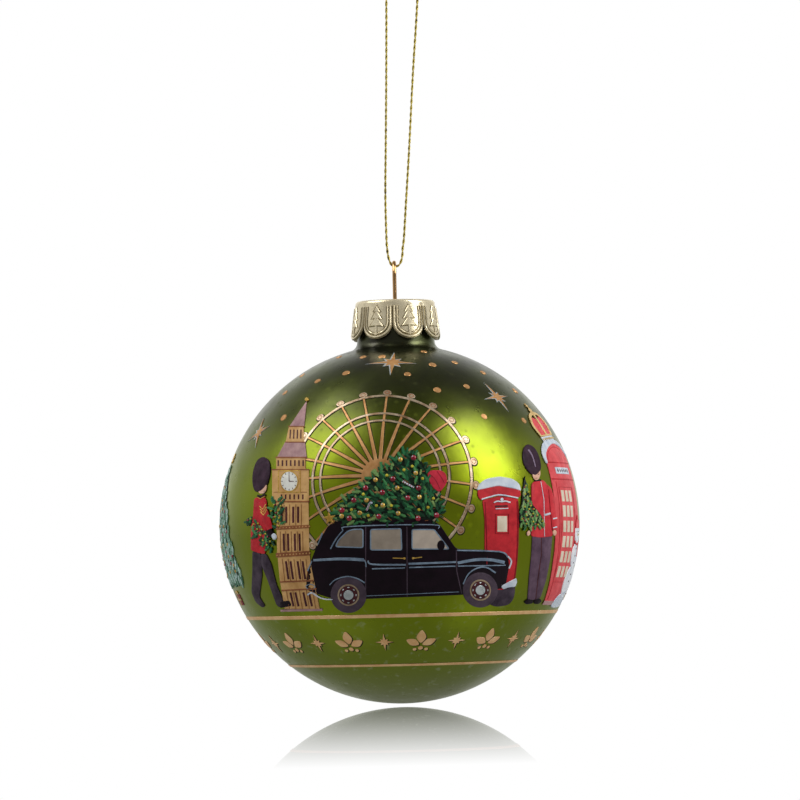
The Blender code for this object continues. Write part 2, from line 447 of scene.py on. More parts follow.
def node(tree, kind, values=(), **settings):
    """A node with its settings, and with its inputs set to values or linked to sockets."""
    made = tree.nodes.new(kind)
    for key, value in settings.items():
        setattr(made, key, value)
    for key, value in values:
        if isinstance(value, bpy.types.NodeSocket):
            tree.links.new(value, made.inputs[key])
        else:
            made.inputs[key].default_value = value
    return made


def reckon(tree, operation, *terms, clamp=False):
    """What a math node makes of its terms, which are numbers or sockets."""
    return node(tree, "ShaderNodeMath", enumerate(terms), operation=operation, use_clamp=clamp).outputs[0]


def spread(tree, value, low, high, to_low=0.0, to_high=1.0):
    """A value that runs from to_low to to_high while the given one runs from low to high."""
    ends = (("From Min", low), ("From Max", high), ("To Min", to_low), ("To Max", to_high))
    return node(tree, "ShaderNodeMapRange", [("Value", value), *ends]).outputs["Result"]


def noise(tree, scale, **values):
    """Noise on the object's own coordinates."""
    place = node(tree, "ShaderNodeTexCoord").outputs["Object"]
    return node(
        tree, "ShaderNodeTexNoise", [("Vector", place), ("Scale", scale), *values.items()]
    ).outputs["Fac"]


def mix(tree, factor, first, second, blend="MIX"):
    """A colour mixed from two colours or colour sockets."""
    made = node(tree, "ShaderNodeMix", data_type="RGBA", blend_type=blend)
    for socket, value in ((made.inputs[0], factor), (made.inputs[6], first), (made.inputs[7], second)):
        if isinstance(value, bpy.types.NodeSocket):
            tree.links.new(value, socket)
        elif isinstance(value, tuple):
            socket.default_value = (*value[:3], 1.0)
        else:
            socket.default_value = value
    return made.outputs[2]


def colour_ramp(tree, factor, stops):
    """A colour that runs through the stops, each a position and a colour."""
    ramp = node(tree, "ShaderNodeValToRGB", [("Fac", factor)])
    elements = ramp.color_ramp.elements
    elements[0].position, elements[-1].position = stops[0][0], stops[-1][0]
    for position, _ in stops[1:-1]:
        elements.new(position)
    for element, (_, colour) in zip(elements, stops):
        element.color = (*colour[:3], 1.0)
    return ramp.outputs["Color"]


def make_group(name, build, result, **inputs):
    """A shader node group with named inputs, given with their defaults, and one named output."""
    tree = bpy.data.node_groups.new(name, "ShaderNodeTree")
    for label, default in inputs.items():
        socket = tree.interface.new_socket(label, in_out="INPUT", socket_type="NodeSocketFloat")
        socket.default_value = default
    tree.interface.new_socket(result, in_out="OUTPUT", socket_type="NodeSocketFloat")
    source, sink = tree.nodes.new("NodeGroupInput"), tree.nodes.new("NodeGroupOutput")
    tree.links.new(build(tree, source.outputs), sink.inputs[result])
    return tree


def build_cloud(tree, given):
    """Soft mottling, remapped to run from Low to High."""
    mottle = noise(tree, given["Scale"], Detail=4.0, Roughness=0.6)
    return spread(tree, mottle, 0.3, 0.7, given["Low"], given["High"])


def build_grain(tree, given):
    """Fine tooth for a bump: small noise over broader unevenness."""
    fine = noise(tree, given["Scale"], Detail=6.0, Roughness=0.7)
    broad = noise(tree, reckon(tree, "MULTIPLY", given["Scale"], 0.11), Detail=2.0)
    return reckon(tree, "MULTIPLY_ADD", broad, given["Broad"], fine)


def build_specks(tree, given):
    """A mask of small scattered specks and rubs, more of them as Amount grows."""
    place = node(tree, "ShaderNodeTexCoord").outputs["Object"]
    cells = node(
        tree, "ShaderNodeTexVoronoi", [("Vector", place), ("Scale", given["Scale"]), ("Randomness", 1.0)]
    )
    reach = reckon(tree, "MULTIPLY", given["Amount"], noise(tree, 90.0, Detail=3.0))
    near = reckon(tree, "SUBTRACT", reach, cells.outputs["Distance"])
    return reckon(tree, "MULTIPLY", near, 9.0, clamp=True)


GROUPS = {
    "cloud": make_group("cloud", build_cloud, "Value", Scale=100.0, Low=0.0, High=1.0),
    "grain": make_group("grain", build_grain, "Height", Scale=1000.0, Broad=1.0),
    "specks": make_group("specks", build_specks, "Mask", Scale=1000.0, Amount=0.3),
}


def use_group(tree, name, **values):
    """What a shader node group puts out for the given inputs."""
    return node(tree, "ShaderNodeGroup", values.items(), node_tree=GROUPS[name]).outputs[0]


def new_material(name, **constants):
    """A material and its tree and shader. The constants are the shader's own sockets, with _ for a space."""
    made = bpy.data.materials.new(name)
    made.use_nodes = True
    tree = made.node_tree
    shader = tree.nodes["Principled BSDF"]
    for key, value in constants.items():
        shader.inputs[key.replace("_", " ")].default_value = value
    return made, tree, shader


def bump(tree, shader, height, strength, distance):
    made = node(tree, "ShaderNodeBump", [("Height", height), ("Strength", strength), ("Distance", distance)])
    tree.links.new(made.outputs["Normal"], shader.inputs["Normal"])


def ink(name, colour, deep, roughness=0.4, metallic=0.0, coat=0.02, tinted=()):
    """Screen-printed enamel or foil: mottled between two colours, with specks and a little tooth.

    tinted are the colours that the pieces' own shade value runs through.
    """
    made, tree, shader = new_material(
        name, Metallic=metallic, Coat_Weight=coat, Coat_Roughness=0.2, Specular_IOR_Level=0.12
    )
    base = mix(tree, use_group(tree, "cloud", Scale=420.0, Low=0.0, High=1.0), colour, deep)
    if tinted:
        shade = node(tree, "ShaderNodeAttribute", attribute_name="shade")
        stops = [(i / (len(tinted) - 1), stop) for i, stop in enumerate(tinted)]
        base = mix(tree, 0.75, base, colour_ramp(tree, shade.outputs["Fac"], stops))
    specks = use_group(tree, "specks", Scale=2600.0, Amount=0.2)
    base = mix(tree, specks, base, tuple(c * 0.55 for c in deep))
    tree.links.new(base, shader.inputs["Base Color"])
    rough = use_group(tree, "cloud", Scale=900.0, Low=roughness * 0.75, High=roughness * 1.3)
    tree.links.new(rough, shader.inputs["Roughness"])
    bump(tree, shader, use_group(tree, "grain", Scale=5200.0, Broad=1.5), 0.35, 0.00004)
    return made


def lacquer(settings):
    """Satin metallic lacquer that darkens towards the neck, over glass."""
    made, tree, shader = new_material(
        "green_lacquer", Coat_Weight=0.12, Coat_Roughness=0.3, Coat_IOR=1.5, IOR=1.5, Specular_IOR_Level=0.3
    )
    place = node(tree, "ShaderNodeTexCoord").outputs["Object"]
    middle = node(
        tree, "ShaderNodeMapping", [("Vector", place), ("Location", (0, 0, -CENTRE.z))], vector_type="POINT"
    )
    parts = node(tree, "ShaderNodeSeparateXYZ", [("Vector", middle.outputs["Vector"])])
    drift = use_group(tree, "cloud", Scale=26.0, Low=-0.0035, High=0.0035)
    level = reckon(tree, "ADD", parts.outputs["Z"], drift)
    share = spread(tree, level, -RADIUS * MM, RADIUS * MM)
    stops = (
        (0.0, settings.foot), (0.22, settings.lower), (0.6, settings.middle), (0.8, settings.upper),
        (0.93, settings.top),
    )  # fmt: skip
    cloud = use_group(tree, "cloud", Scale=60.0, Low=0.0, High=0.35)
    base = mix(tree, cloud, colour_ramp(tree, share, stops), settings.lower[:])
    base = mix(tree, use_group(tree, "specks", Scale=1500.0, Amount=0.2), base, rgb(30, 34, 18))
    # Pale mottled patches, over the lower part of the ball only.
    pale_cloud = use_group(tree, "cloud", Scale=520.0, Low=-2.2, High=0.9)
    low = spread(tree, share, 0.1, 0.34, 0.4, 0.0)
    base = mix(tree, reckon(tree, "MULTIPLY", pale_cloud, low, clamp=True), base, rgb(186, 194, 160))
    tree.links.new(base, shader.inputs["Base Color"])
    rough = use_group(tree, "cloud", Scale=210.0, Low=0.26, High=0.36)
    rubs = use_group(tree, "specks", Scale=420.0, Amount=0.42)
    tree.links.new(reckon(tree, "MULTIPLY_ADD", rubs, 0.12, rough), shader.inputs["Roughness"])
    tree.links.new(use_group(tree, "cloud", Scale=40.0, Low=0.9, High=0.98), shader.inputs["Metallic"])
    bump(tree, shader, use_group(tree, "grain", Scale=3800.0, Broad=3.0), 0.25, 0.00003)
    return made


def gilt(name, colour, deep, roughness, tooth=0.2, tooth_scale=1500.0, metallic=1.0):
    """Bright pressed or drawn metal, duller and darker in random patches and specks, as where it is rubbed.
    """
    made, tree, shader = new_material(name, Metallic=metallic)
    base = mix(tree, use_group(tree, "cloud", Scale=240.0, Low=0.0, High=1.0), colour, deep)
    specks = use_group(tree, "specks", Scale=1900.0, Amount=0.3)
    tree.links.new(mix(tree, specks, base, tuple(c * 0.4 for c in deep)), shader.inputs["Base Color"])
    rough = use_group(tree, "cloud", Scale=500.0, Low=roughness * 0.7, High=roughness * 1.5)
    tree.links.new(rough, shader.inputs["Roughness"])
    bump(tree, shader, use_group(tree, "grain", Scale=tooth_scale, Broad=2.0), tooth, 0.00006)
    return made


def thread(settings):
    """Metallic yarn with fine fibres across each ply, dark flecks, and painted shade in the gaps where the
    plies meet.

    It reads the yarn's own map and how far each point of a ply faces outward.
    """
    made, tree, shader = new_material("cord_gold", Metallic=0.5, Sheen_Weight=0.25, Sheen_Roughness=0.4)
    place = node(tree, "ShaderNodeUVMap", uv_map="yarn")
    parts = node(tree, "ShaderNodeSeparateXYZ", [("Vector", place.outputs["UV"])])
    slant = reckon(tree, "MULTIPLY_ADD", parts.outputs["Y"], YARN_MAP, parts.outputs["X"])
    wave = reckon(tree, "SINE", reckon(tree, "MULTIPLY", slant, math.tau * 3))
    fibre = spread(tree, wave, -1.0, 1.0)
    # Painted shade between the fibres: the colour runs to the shade colour in the low of each fibre, where
    # the bump is lowest too.
    base = mix(tree, fibre, settings.shade[:], settings.colour[:])
    base = mix(tree, use_group(tree, "specks", Scale=1100.0, Amount=0.5), base, settings.fleck_and_ply_shade[:])
    # Painted shade: the inner side of each ply, where it faces the other ply, runs to the fleck colour.
    outward = node(tree, "ShaderNodeAttribute", attribute_name="outward")
    base = mix(tree, spread(tree, outward.outputs["Fac"], -0.65, 0.05, 1.0, 0.0), base, settings.fleck_and_ply_shade[:])
    tree.links.new(base, shader.inputs["Base Color"])
    rough = use_group(tree, "cloud", Scale=2000.0, Low=0.25, High=0.5)
    tree.links.new(rough, shader.inputs["Roughness"])
    bump(tree, shader, fibre, 0.6, 0.00003)
    return made


INKS = {
    # name: (colour, deep colour, record slot, other settings)
    "copper": (rgb(222, 172, 116), rgb(190, 134, 80), "print_copper", {"metallic": 0.55, "roughness": 0.38}),
    "silver": (rgb(214, 220, 220), rgb(168, 176, 176), "print_silver", {"metallic": 0.5, "roughness": 0.3}),
    # A lighter copy of copper for the bands and sprigs low on the ball: painted light, where the lamps leave
    # the lower part dim.
    "foil": (rgb(255, 214, 158), rgb(232, 180, 122), "print_copper", {"metallic": 0.3, "roughness": 0.38}),
    "wheel_foil": (
        rgb(222, 204, 176), rgb(158, 122, 86), "print_copper", {"metallic": 0.6, "roughness": 0.3}
    ),
    # Dark olive for painted shadows: dark copies under raised prints, shifted down and to the right.
    "painted_shadow": (rgb(52, 54, 20), rgb(38, 40, 16), "print_black", {"roughness": 0.5}),
    "cab": (rgb(28, 12, 24), rgb(14, 5, 12), "print_black", {"roughness": 0.4}),
    "glint": (rgb(150, 172, 192), rgb(96, 112, 132), "print_grey", {}),
    "pane": (rgb(140, 128, 114), rgb(118, 106, 96), "print_grey", {}),
    "light_pane": (rgb(176, 162, 146), rgb(154, 142, 128), "print_grey", {}),
    "bright_pane": (rgb(208, 194, 178), rgb(184, 170, 156), "print_grey", {}),
    "tyre": (rgb(94, 80, 92), rgb(68, 56, 68), "print_grey", {"roughness": 0.5}),
    "rim": (rgb(190, 170, 140), rgb(130, 108, 82), "print_stone", {}),
    "white": (rgb(232, 238, 244), rgb(190, 204, 220), "print_white", {"roughness": 0.5}),
    "red": (rgb(218, 52, 60), rgb(172, 34, 44), "print_red", {}),
    # A paler, pinker red. On the kiosk it is painted reflection, the red lightened as if by the white
    # surround glancing off it near the ball's edge; on the crown and the snowman it is their own pink.
    "pale_red_and_painted_sheen": (rgb(240, 98, 102), rgb(210, 68, 74), "print_red", {}),
    "sack": (rgb(214, 58, 76), rgb(168, 34, 52), "print_crimson", {}),
    "crown_gold": (
        rgb(240, 212, 150), rgb(212, 172, 108), "print_copper", {"metallic": 0.2, "roughness": 0.4}
    ),
    "dark_red": (rgb(160, 24, 34), rgb(112, 14, 26), "print_crimson", {}),
    "crimson": (rgb(170, 22, 48), rgb(104, 8, 28), "print_crimson", {"roughness": 0.15, "coat": 0.8}),
    "gold": (rgb(230, 194, 100), rgb(176, 130, 52), "print_copper", {"metallic": 0.4, "roughness": 0.3}),
    "yellow": (rgb(214, 206, 70), rgb(160, 140, 40), "print_stone", {}),
    "needle": (
        rgb(44, 110, 62),
        rgb(20, 58, 36),
        "print_green",
        {
            "tinted": [
                rgb(30, 42, 36), rgb(38, 68, 50), rgb(44, 108, 72), rgb(84, 156, 94), rgb(158, 186, 112)
            ]
        },
    ),
    "undergrowth": (rgb(30, 44, 32), rgb(18, 28, 22), "print_green", {}),
    "stone": (rgb(228, 184, 122), rgb(196, 148, 90), "print_stone", {}),
    "stone_shade": (rgb(168, 108, 66), rgb(132, 80, 52), "print_stone", {}),
    "slate": (rgb(200, 162, 158), rgb(158, 118, 124), "print_grey", {}),
    "slit": (rgb(96, 46, 48), rgb(64, 30, 36), "print_black", {}),
    "dial": (rgb(250, 250, 242), rgb(226, 226, 216), "print_white", {}),
    "bearskin": (rgb(70, 48, 64), rgb(40, 24, 36), "print_black", {"roughness": 0.6}),
    "fur_light": (rgb(156, 138, 160), rgb(116, 98, 120), "print_grey", {}),
    "lit_red": (rgb(228, 66, 74), rgb(190, 44, 54), "print_red", {}),
    "lit_trousers": (rgb(112, 88, 106), rgb(78, 58, 74), "print_grey", {"roughness": 0.5}),
    "frost": (rgb(218, 238, 234), rgb(176, 208, 198), "print_white", {"roughness": 0.6}),
    "snow": (rgb(250, 252, 255), rgb(222, 230, 240), "print_white", {"roughness": 0.5}),
    "frosted_needle": (
        rgb(84, 132, 108),
        rgb(60, 104, 84),
        "print_green",
        {"tinted": [rgb(60, 100, 78), rgb(98, 148, 120), rgb(140, 182, 156), rgb(184, 212, 196)]},
    ),
    "skin": (rgb(244, 200, 174), rgb(222, 170, 142), "print_skin", {}),
    "trousers": (rgb(84, 72, 84), rgb(48, 38, 50), "print_grey", {"roughness": 0.5}),
    "cream": (rgb(240, 228, 206), rgb(216, 200, 174), "print_stone", {}),
    "bright_needle": (
        rgb(70, 124, 70),
        rgb(44, 84, 50),
        "print_green",
        {"tinted": [rgb(44, 84, 50), rgb(72, 128, 74), rgb(122, 168, 98), rgb(182, 202, 138)]},
    ),
}
FINISHES = {}


def finish_of(name):
    """The ink of that name, made once."""
    if name not in FINISHES:
        colour, deep, _, others = INKS[name]
        FINISHES[name] = ink(f"ink_{name}", colour, deep, **others)
    return FINISHES[name]


def printed(name, finish, shape, height, lay=as_seen, **others):
    """Relief on the ball in one of the inks."""
    relief(name, finish_of(finish), INKS[finish][2], shape, height, lay, **others)


def plate(name, finish, outline, ease, height, lay=as_seen, **others):
    """One printed plate with its corners eased."""
    printed(name, finish, [rounded(outline, ease)], height, lay, **others)


# ---- ball, cap, wire and cord ----


def turn_profile(name, profile, steps):
    """Spins a profile of (radius, height) about the ball's axis, as a closed or an open surface."""
    points = [above_centre(r, 0, h) for r, h in profile]
    obj = new_mesh(name, points, [(i, i + 1) for i in range(len(profile) - 1)], [])
    edit_all(obj)
    bpy.ops.mesh.spin(steps=steps, angle=math.tau, center=CENTRE, axis=(0, 0, 1), use_auto_merge=True)
    bpy.ops.mesh.select_all(action="SELECT")
    bpy.ops.mesh.remove_doubles(threshold=MERGE * MM)
    bpy.ops.mesh.normals_make_consistent(inside=False)
    bpy.ops.object.mode_set(mode="OBJECT")
    return obj


def make_ball(settings):
    """A turned glass ball with a rounded lip, a neck, a filleted shoulder and its real wall."""
    reach = NECK_BASE_RADIUS + SHOULDER_FILLET
    rise = math.sqrt((RADIUS + SHOULDER_FILLET) ** 2 - reach**2)
    outside = arc((NECK_RADIUS - GLASS_LIP, NECK_TOP - GLASS_LIP), GLASS_LIP, math.pi / 2, 0, 5)
    outside += [(NECK_RADIUS, NECK_FLARE_TOP + 2), (NECK_RADIUS + 0.1, NECK_FLARE_TOP)]
    outside += arc((reach, rise), SHOULDER_FILLET, -math.pi, math.atan2(-rise, -reach), 10)
    outside += arc((0, 0), RADIUS, math.atan2(rise, reach), -math.pi / 2, 96)[1:-1]
    bore, hollow = NECK_RADIUS - 1.0, RADIUS - GLASS_WALL
    throat = math.acos((bore + 0.15) / hollow)
    inside_wall = arc((0, 0), hollow, -math.pi / 2, throat, 40)[1:]
    inside_wall += [(bore, NECK_FLARE_TOP), (bore, NECK_TOP - GLASS_LIP), (bore + 0.25, NECK_TOP)]
    profile = outside + [(0, -RADIUS), (0, -hollow)] + inside_wall + outside[:1]
    ball = turn_profile("lacquered_ball", profile, 192)
    hand_over(ball, lacquer(settings), "ball", "green_lacquer", angle=50)
    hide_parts("glass_ball")


def petal_of(angle):
    """(middle angle of the petal, where across it from -1 to 1) for an angle from the front."""
    half = math.pi / PETALS
    number = math.floor((angle - PETAL_TURN) / (2 * half))
    middle = PETAL_TURN + half * (2 * number + 1)
    return middle, (angle - middle) / half


def make_cap(settings):
    """A pressed cap: a turned crown whose skirt is drawn into petals, with embossed lines and firs."""
    face, start = CAP_TOP - 0.05, SKIRT_TOP - 0.05
    crown = [(0.001, face), (2.0, face), (4.6, face), (6.6, face), (7.3, CAP_TOP - 0.02)]
    crown += arc((CAP_RIM_RADIUS - CAP_CORNER, CAP_TOP - CAP_CORNER), CAP_CORNER, math.pi / 2, 0, 6)
    skirt = [(CAP_RIM_RADIUS, start - (start - CAP_HEM) * i / 22) for i in range(1, 23)]
    cap = turn_profile("pressed_cap", crown + skirt, PETALS * PETAL_COLUMNS)
    half = math.pi / PETALS
    for point in cap.data.vertices:
        x, y, height = (point.co - CENTRE) / MM
        if math.hypot(x, y) < CAP_RIM_RADIUS - 0.02 and height > CAP_TOP - 0.8:
            continue
        middle, across = petal_of(math.atan2(x, -y) + 0.5 * half / PETAL_COLUMNS)
        across = math.sin(across * math.pi / 2)
        angle = middle + half * across
        hem = CAP_HEM + PETAL_TIP - PETAL_TIP * math.sqrt(max(0.0, 1 - across**2))
        share = (SKIRT_TOP - height) / (SKIRT_TOP - CAP_HEM)
        height = SKIRT_TOP - (SKIRT_TOP - hem) * share
        radius = skirt_radius(across, height)
        point.co = above_centre(radius * math.sin(angle), -radius * math.cos(angle), height)
    apply_modifier(cap, "sheet", "SOLIDIFY", thickness=CAP_SHEET * MM, offset=-1)
    for side in (-1, 1):
        deselect_all()
        place = above_centre(0, side * EYE_RADIUS, CAP_TOP)
        bpy.ops.mesh.primitive_cylinder_add(
            vertices=24, radius=SLOT_RADIUS * MM, depth=3 * MM, location=place
        )
        punch = bpy.context.object
        apply_modifier(cap, "hole", "BOOLEAN", object=punch, operation="DIFFERENCE")
        bpy.data.objects.remove(punch)
    finish = gilt("cap_gold", settings.colour[:], settings.deep[:], 0.26, metallic=0.55)
    # Painted shade: a dark gilt laid in a thin band beside each raised line and fir of the petals.
    painted_line_shade = gilt("cap_painted_line_shade", settings.painted_line_shade[:], settings.painted_line_shade[:], 0.35, metallic=0.7)
    lines = []
    for number in range(PETALS):
        lay = on_petal(number)
        for name, shape, height in petal_relief(settings):
            line = relief(
                f"{name}_{number}", finish, "cap_gold", shape, height, lay, 0.9, chamfer=0.13, body=None
            )
            lines.append(line)
        # Wider, thin copies of each line and fir in the dark gilt, as painted shade beside the emboss.
        for name, shape, _ in petal_relief(settings, 0.3):
            relief(
                f"{name}_groove_{number}", painted_line_shade, "cap_gold", shape, 0.035, lay, 0.9, chamfer=0.0,
                body="cap",
            )
    take_up(cap)
    for line in lines:
        line.select_set(True)
    bpy.ops.object.join()
    hand_over(cap, finish, "cap", "cap_gold", angle=45)
    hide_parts("cap")


def petal_relief(settings, wider=0.0):
    """The embossed lines and fir of one petal, each a name, a flat shape and how far it stands proud.

    In a shape, x is measured from the petal's middle and y is a height. wider spreads them for the painted
    shade beside them.
    """
    slit_top = CAP_HEM + PETAL_TIP
    wide = math.pi / PETALS * (CAP_RIM_RADIUS + CAP_HEM_RADIUS) / 2
    lines = []
    for inset, width in ((0.4, 0.46), (1.1, 0.34)):
        reach = wide - inset
        bottom = arc((0, slit_top), 1.0, math.pi, math.tau, 16)
        route = [(-reach, CAP_TOP - 1.5), (-reach, slit_top + 1.6)]
        route += [(x * reach, slit_top + (y - slit_top) * (PETAL_TIP - inset)) for x, y in bottom]
        route += [(reach, slit_top + 1.6), (reach, CAP_TOP - 1.5)]
        lines += stroke(route, width + wider)
    tip = CAP_TOP - 1.4
    fir = [(0, tip)]
    for wing, drop, notch in ((0.95, 1.5, 0.35), (1.3, 3.0, 0.45), (1.65, 4.6, 0.25)):
        fir += [(-wing, tip - drop), (-notch, tip - drop + 0.12)]
    fir += [(-0.24, tip - 6.6), (0.24, tip - 6.6)]
    fir += [(-x, y) for x, y in reversed(fir[1:-2])]
    middle = tip - 3.0
    fir = [(x * (1 + wider / 1.4), middle + (y - middle) * (1 + wider / 3.2)) for x, y in fir]
    return (("petal_line", lines, settings.emboss), ("petal_fir", [fir], settings.emboss + 0.04))


def make_wire(settings):
    """One length of spring wire: an eye above the cap and two bowed legs inside the neck."""
    bowed = (
        (5.0, 29.0), (5.9, 33.0), (6.3, 37.5), (6.0, 41.0), (4.6, 45.0), (3.15, 48.1), (EYE_RADIUS, 49.2)
    )
    leg = smooth_route([above_centre(0, y, h) for y, h in bowed], 0.7 * MM)
    eye_centre = EYE_TOP - WIRE_DIAMETER / 2 - EYE_RADIUS
    crown = [above_centre(0, y, h) for y, h in arc((0, eye_centre), EYE_RADIUS, 0, math.pi, 28)]
    route = leg + crown + [Vector((p.x, -p.y, p.z)) for p in reversed(leg)]
    deselect_all()
    curve = bpy.data.curves.new("hanger", "CURVE")
    curve.dimensions = "3D"
    curve.bevel_depth = WIRE_DIAMETER / 2 * MM
    curve.bevel_resolution = 6
    curve.use_fill_caps = True
    spline = curve.splines.new("POLY")
    spline.points.add(len(route) - 1)
    for point, place in zip(spline.points, route):
        point.co = (*place, 1.0)
    wire = bpy.data.objects.new("spring_wire", curve)
    bpy.context.scene.collection.objects.link(wire)
    take_up(wire)
    bpy.ops.object.convert(target="MESH")
    wire = bpy.context.object
    finish = gilt("wire_gold", settings.colour[:], settings.deep[:], 0.18, 0.15, 2600.0)
    hand_over(wire, finish, "hanger", "wire_gold")
    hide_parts("hanger_wire")


def rope(name, route, plies, diameter, pitch, sides=8):
    """Twisted yarn along a route: each ply is a tube that winds round it, with a map round and along it."""
    ply = diameter / 2 / (1 + 1 / math.sin(math.pi / plies)) * 1.04
    throw = diameter / 2 - ply
    frames, ahead = [], Vector((0, 1, 0))
    for i, place in enumerate(route):
        along = (route[min(i + 1, len(route) - 1)] - route[max(i - 1, 0)]).normalized()
        ahead = (ahead - along * ahead.dot(along)).normalized()
        frames.append((place, ahead, along.cross(ahead)))
    points, faces, maps, outward = [], [], [], []
    run, runs = 0.0, [0.0]
    for a, b in zip(route, route[1:]):
        run += (b - a).length
        runs.append(run)
    for strand in range(plies):
        centres = []
        for (place, u, v), done in zip(frames, runs):
            a = math.tau * (done / (pitch * MM) + strand / plies)
            centres.append((place + (u * math.cos(a) + v * math.sin(a)) * throw * MM, u, v, a))
        first = len(points)
        for place, u, v, wound in centres:
            for side in range(sides):
                a = math.tau * side / sides
                points.append(place + (u * math.cos(a) + v * math.sin(a)) * ply * MM)
                outward.append(math.cos(a - wound))
        for i in range(len(route) - 1):
            for side in range(sides):
                a, b = first + i * sides, first + (i + 1) * sides
                other = (side + 1) % sides
                near, far = side / sides, (side + 1) / sides
                faces.append((a + side, b + side, b + other, a + other))
                maps.append([(near, runs[i]), (near, runs[i + 1]), (far, runs[i + 1]), (far, runs[i])])
        for start, order in ((first, 1), (first + (len(route) - 1) * sides, -1)):
            faces.append([start + side for side in range(sides)][::order])
            maps.append([(0.0, 0.0)] * sides)
    obj = new_mesh(name, points, [], faces)
    obj.data.attributes.new("outward", "FLOAT", "POINT").data.foreach_set("value", outward)
    layer = obj.data.uv_layers.new(name="yarn")
    layer.data.foreach_set("uv", [n for face in maps for u, v in face for n in (u, v / MM / YARN_MAP)])
    edit_all(obj)
    bpy.ops.mesh.normals_make_consistent(inside=False)
    bpy.ops.object.mode_set(mode="OBJECT")
    return obj


def cord_route():
    """The route from one tail's tip to the other's: through the knot, down, through the eye and back."""
    mid, knot = CORD_MIDDLE_X, KNOT_MIDDLE
    bight = EYE_TOP - WIRE_DIAMETER - 0.12 - CORD_DIAMETER / 2
    tail = ((5.2, 1.1, 3.8), (3.7, 0.9, 5.0), (2.0, 0.6, 4.8), (0.8, 0.2, 3.4), (0.45, 0.0, 1.8))
    arch = ((0.45, 123.4), (0.75, 122.3), (1.75, 121.15), (3.0, 119.75), (3.45, 118.0))
    left_run = ((-0.8, 112.0), (-1.1, 100.0), (-1.55, 85.0), (-1.9, 73.5), (-1.88, 64.0), (-1.77, 61.5))
    eye = (
        (-1.6, 59.9), (-1.25, 58.55), (-0.72, bight + 0.24), (0.0, bight), (0.72, bight + 0.24),
        (1.25, 58.55),
    )
    right_run = (
        (1.58, 59.9), (1.7, 61.5), (2.05, 64.0), (2.65, 71.5), (3.65, 83.8), (4.85, 100.3), (5.85, 112.0)
    )
    points = [above_centre(mid - x, -y, knot + h) for x, y, h in tail]
    points += [above_centre(mid - x, 0, h) for x, h in arch]
    points += [above_centre(x, 0, h) for x, h in left_run + eye + right_run]
    points += [above_centre(mid + x, 0, h) for x, h in reversed(arch)]
    points += [above_centre(mid + x, y, knot + h) for x, y, h in reversed(tail)]
    return [place + Vector((CORD_SHIFT * MM, 0, 0)) for place in smooth_route(points, 0.28 * MM)]


def make_cord(settings):
    """The cord as one twisted yarn, with the turns of its knot as a second."""
    finish = thread(settings)
    route = cord_route()
    cord = rope("twisted_cord", route, settings.plies, CORD_DIAMETER, settings.pitch)
    hand_over(cord, finish, None, "cord_gold", angle=60)
    mid, knot = CORD_MIDDLE_X, KNOT_MIDDLE
    turns, steps = 3.25, 78
    coil = []
    for i in range(steps + 1):
        share = i / steps
        a = math.tau * turns * share
        x, y = 0.86 * math.cos(a), 0.62 * math.sin(a)
        coil.append(above_centre(mid + CORD_SHIFT + x, y, knot - 1.05 + 2.1 * share))
    wrap = rope("knot_wraps", smooth_route(coil, 0.25 * MM), settings.plies, CORD_DIAMETER, settings.pitch)
    hand_over(wrap, finish, "cord", "cord_gold", angle=60)
    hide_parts("cord_knot")
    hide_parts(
        "cord_bight", "cord_left_strand", "cord_right_strand", "cord_left_tail", "cord_right_tail"
    )
    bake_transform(cord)
    sum((b - a).length for a, b in zip(route, route[1:]))


# ---- the picture ----

WHEEL_CENTRE = (-6.6, 14.1)
WHEEL_TURN = 1.5
SPOKES = 24
RIM, OUTER_RING, INNER_RING, HUB, CAPSULES = 20.3, 15.2, 13.3, 3.9, 21.3


def make_wheel(settings):
    """A big observation wheel: a hub, tapering spokes, two inner rings, a rim and its round cabins."""
    lay = around(*WHEEL_CENTRE)
    height = settings.line_height
    spokes, cabins, eyes = [], [], []
    for i in range(SPOKES):
        a = math.radians(WHEEL_TURN + 360 / SPOKES * i)
        x, y = math.sin(a), math.cos(a)
        spokes.append([(x * r, y * r) for r in (HUB * 0.7, RIM * 0.55, RIM)])
        cabins.append((x * CAPSULES, y * CAPSULES, -math.degrees(a)))
        eyes += ring(x * CAPSULES, y * CAPSULES, 0.5, 0.14, sides=12)
    circles = ((RIM, 0.64), (OUTER_RING, 0.56), (INNER_RING, 0.5))
    # The first pass lays painted shadow: wider, lower copies of the spokes, rings and cabins, shifted down
    # and to the right.
    for name, finish, wider, lift in (("painted_shadow", "painted_shadow", 0.34, -0.05), ("foil", None, 0.0, 0.0)):
        lines = [face for spoke in spokes for face in stroke(spoke, 0.8 + wider, 0.42 + wider)]
        rings = [
            face
            for r, width in circles
            for face in stroke(oval(0, 0, r, sides=120), width + wider, closed=True)
        ]
        plates = [oval(x, y, 0.98 + wider / 2, 0.8 + wider / 2, 16, turn) for x, y, turn in cabins]
        if wider:
            lines, rings, plates = (moved(part, 0.06, -0.06) for part in (lines, rings, plates))
        printed(f"wheel_spokes_{name}", finish or "copper", lines, height + lift, lay, chamfer=0.06)
        printed(f"wheel_rings_{name}", finish or "wheel_foil", rings, height + lift + 0.02, lay, chamfer=0.06)
        printed(
            f"wheel_cabins_{name}", finish or "wheel_foil", plates, height + lift + 0.04, lay, chamfer=0.08
        )
    printed("wheel_hub", "copper", [oval(0, 0, HUB, sides=40)], height + 0.03, lay, chamfer=0.08)
    printed("wheel_cabin_rings", "stone_shade", eyes, height + 0.055, lay, chamfer=0.0)


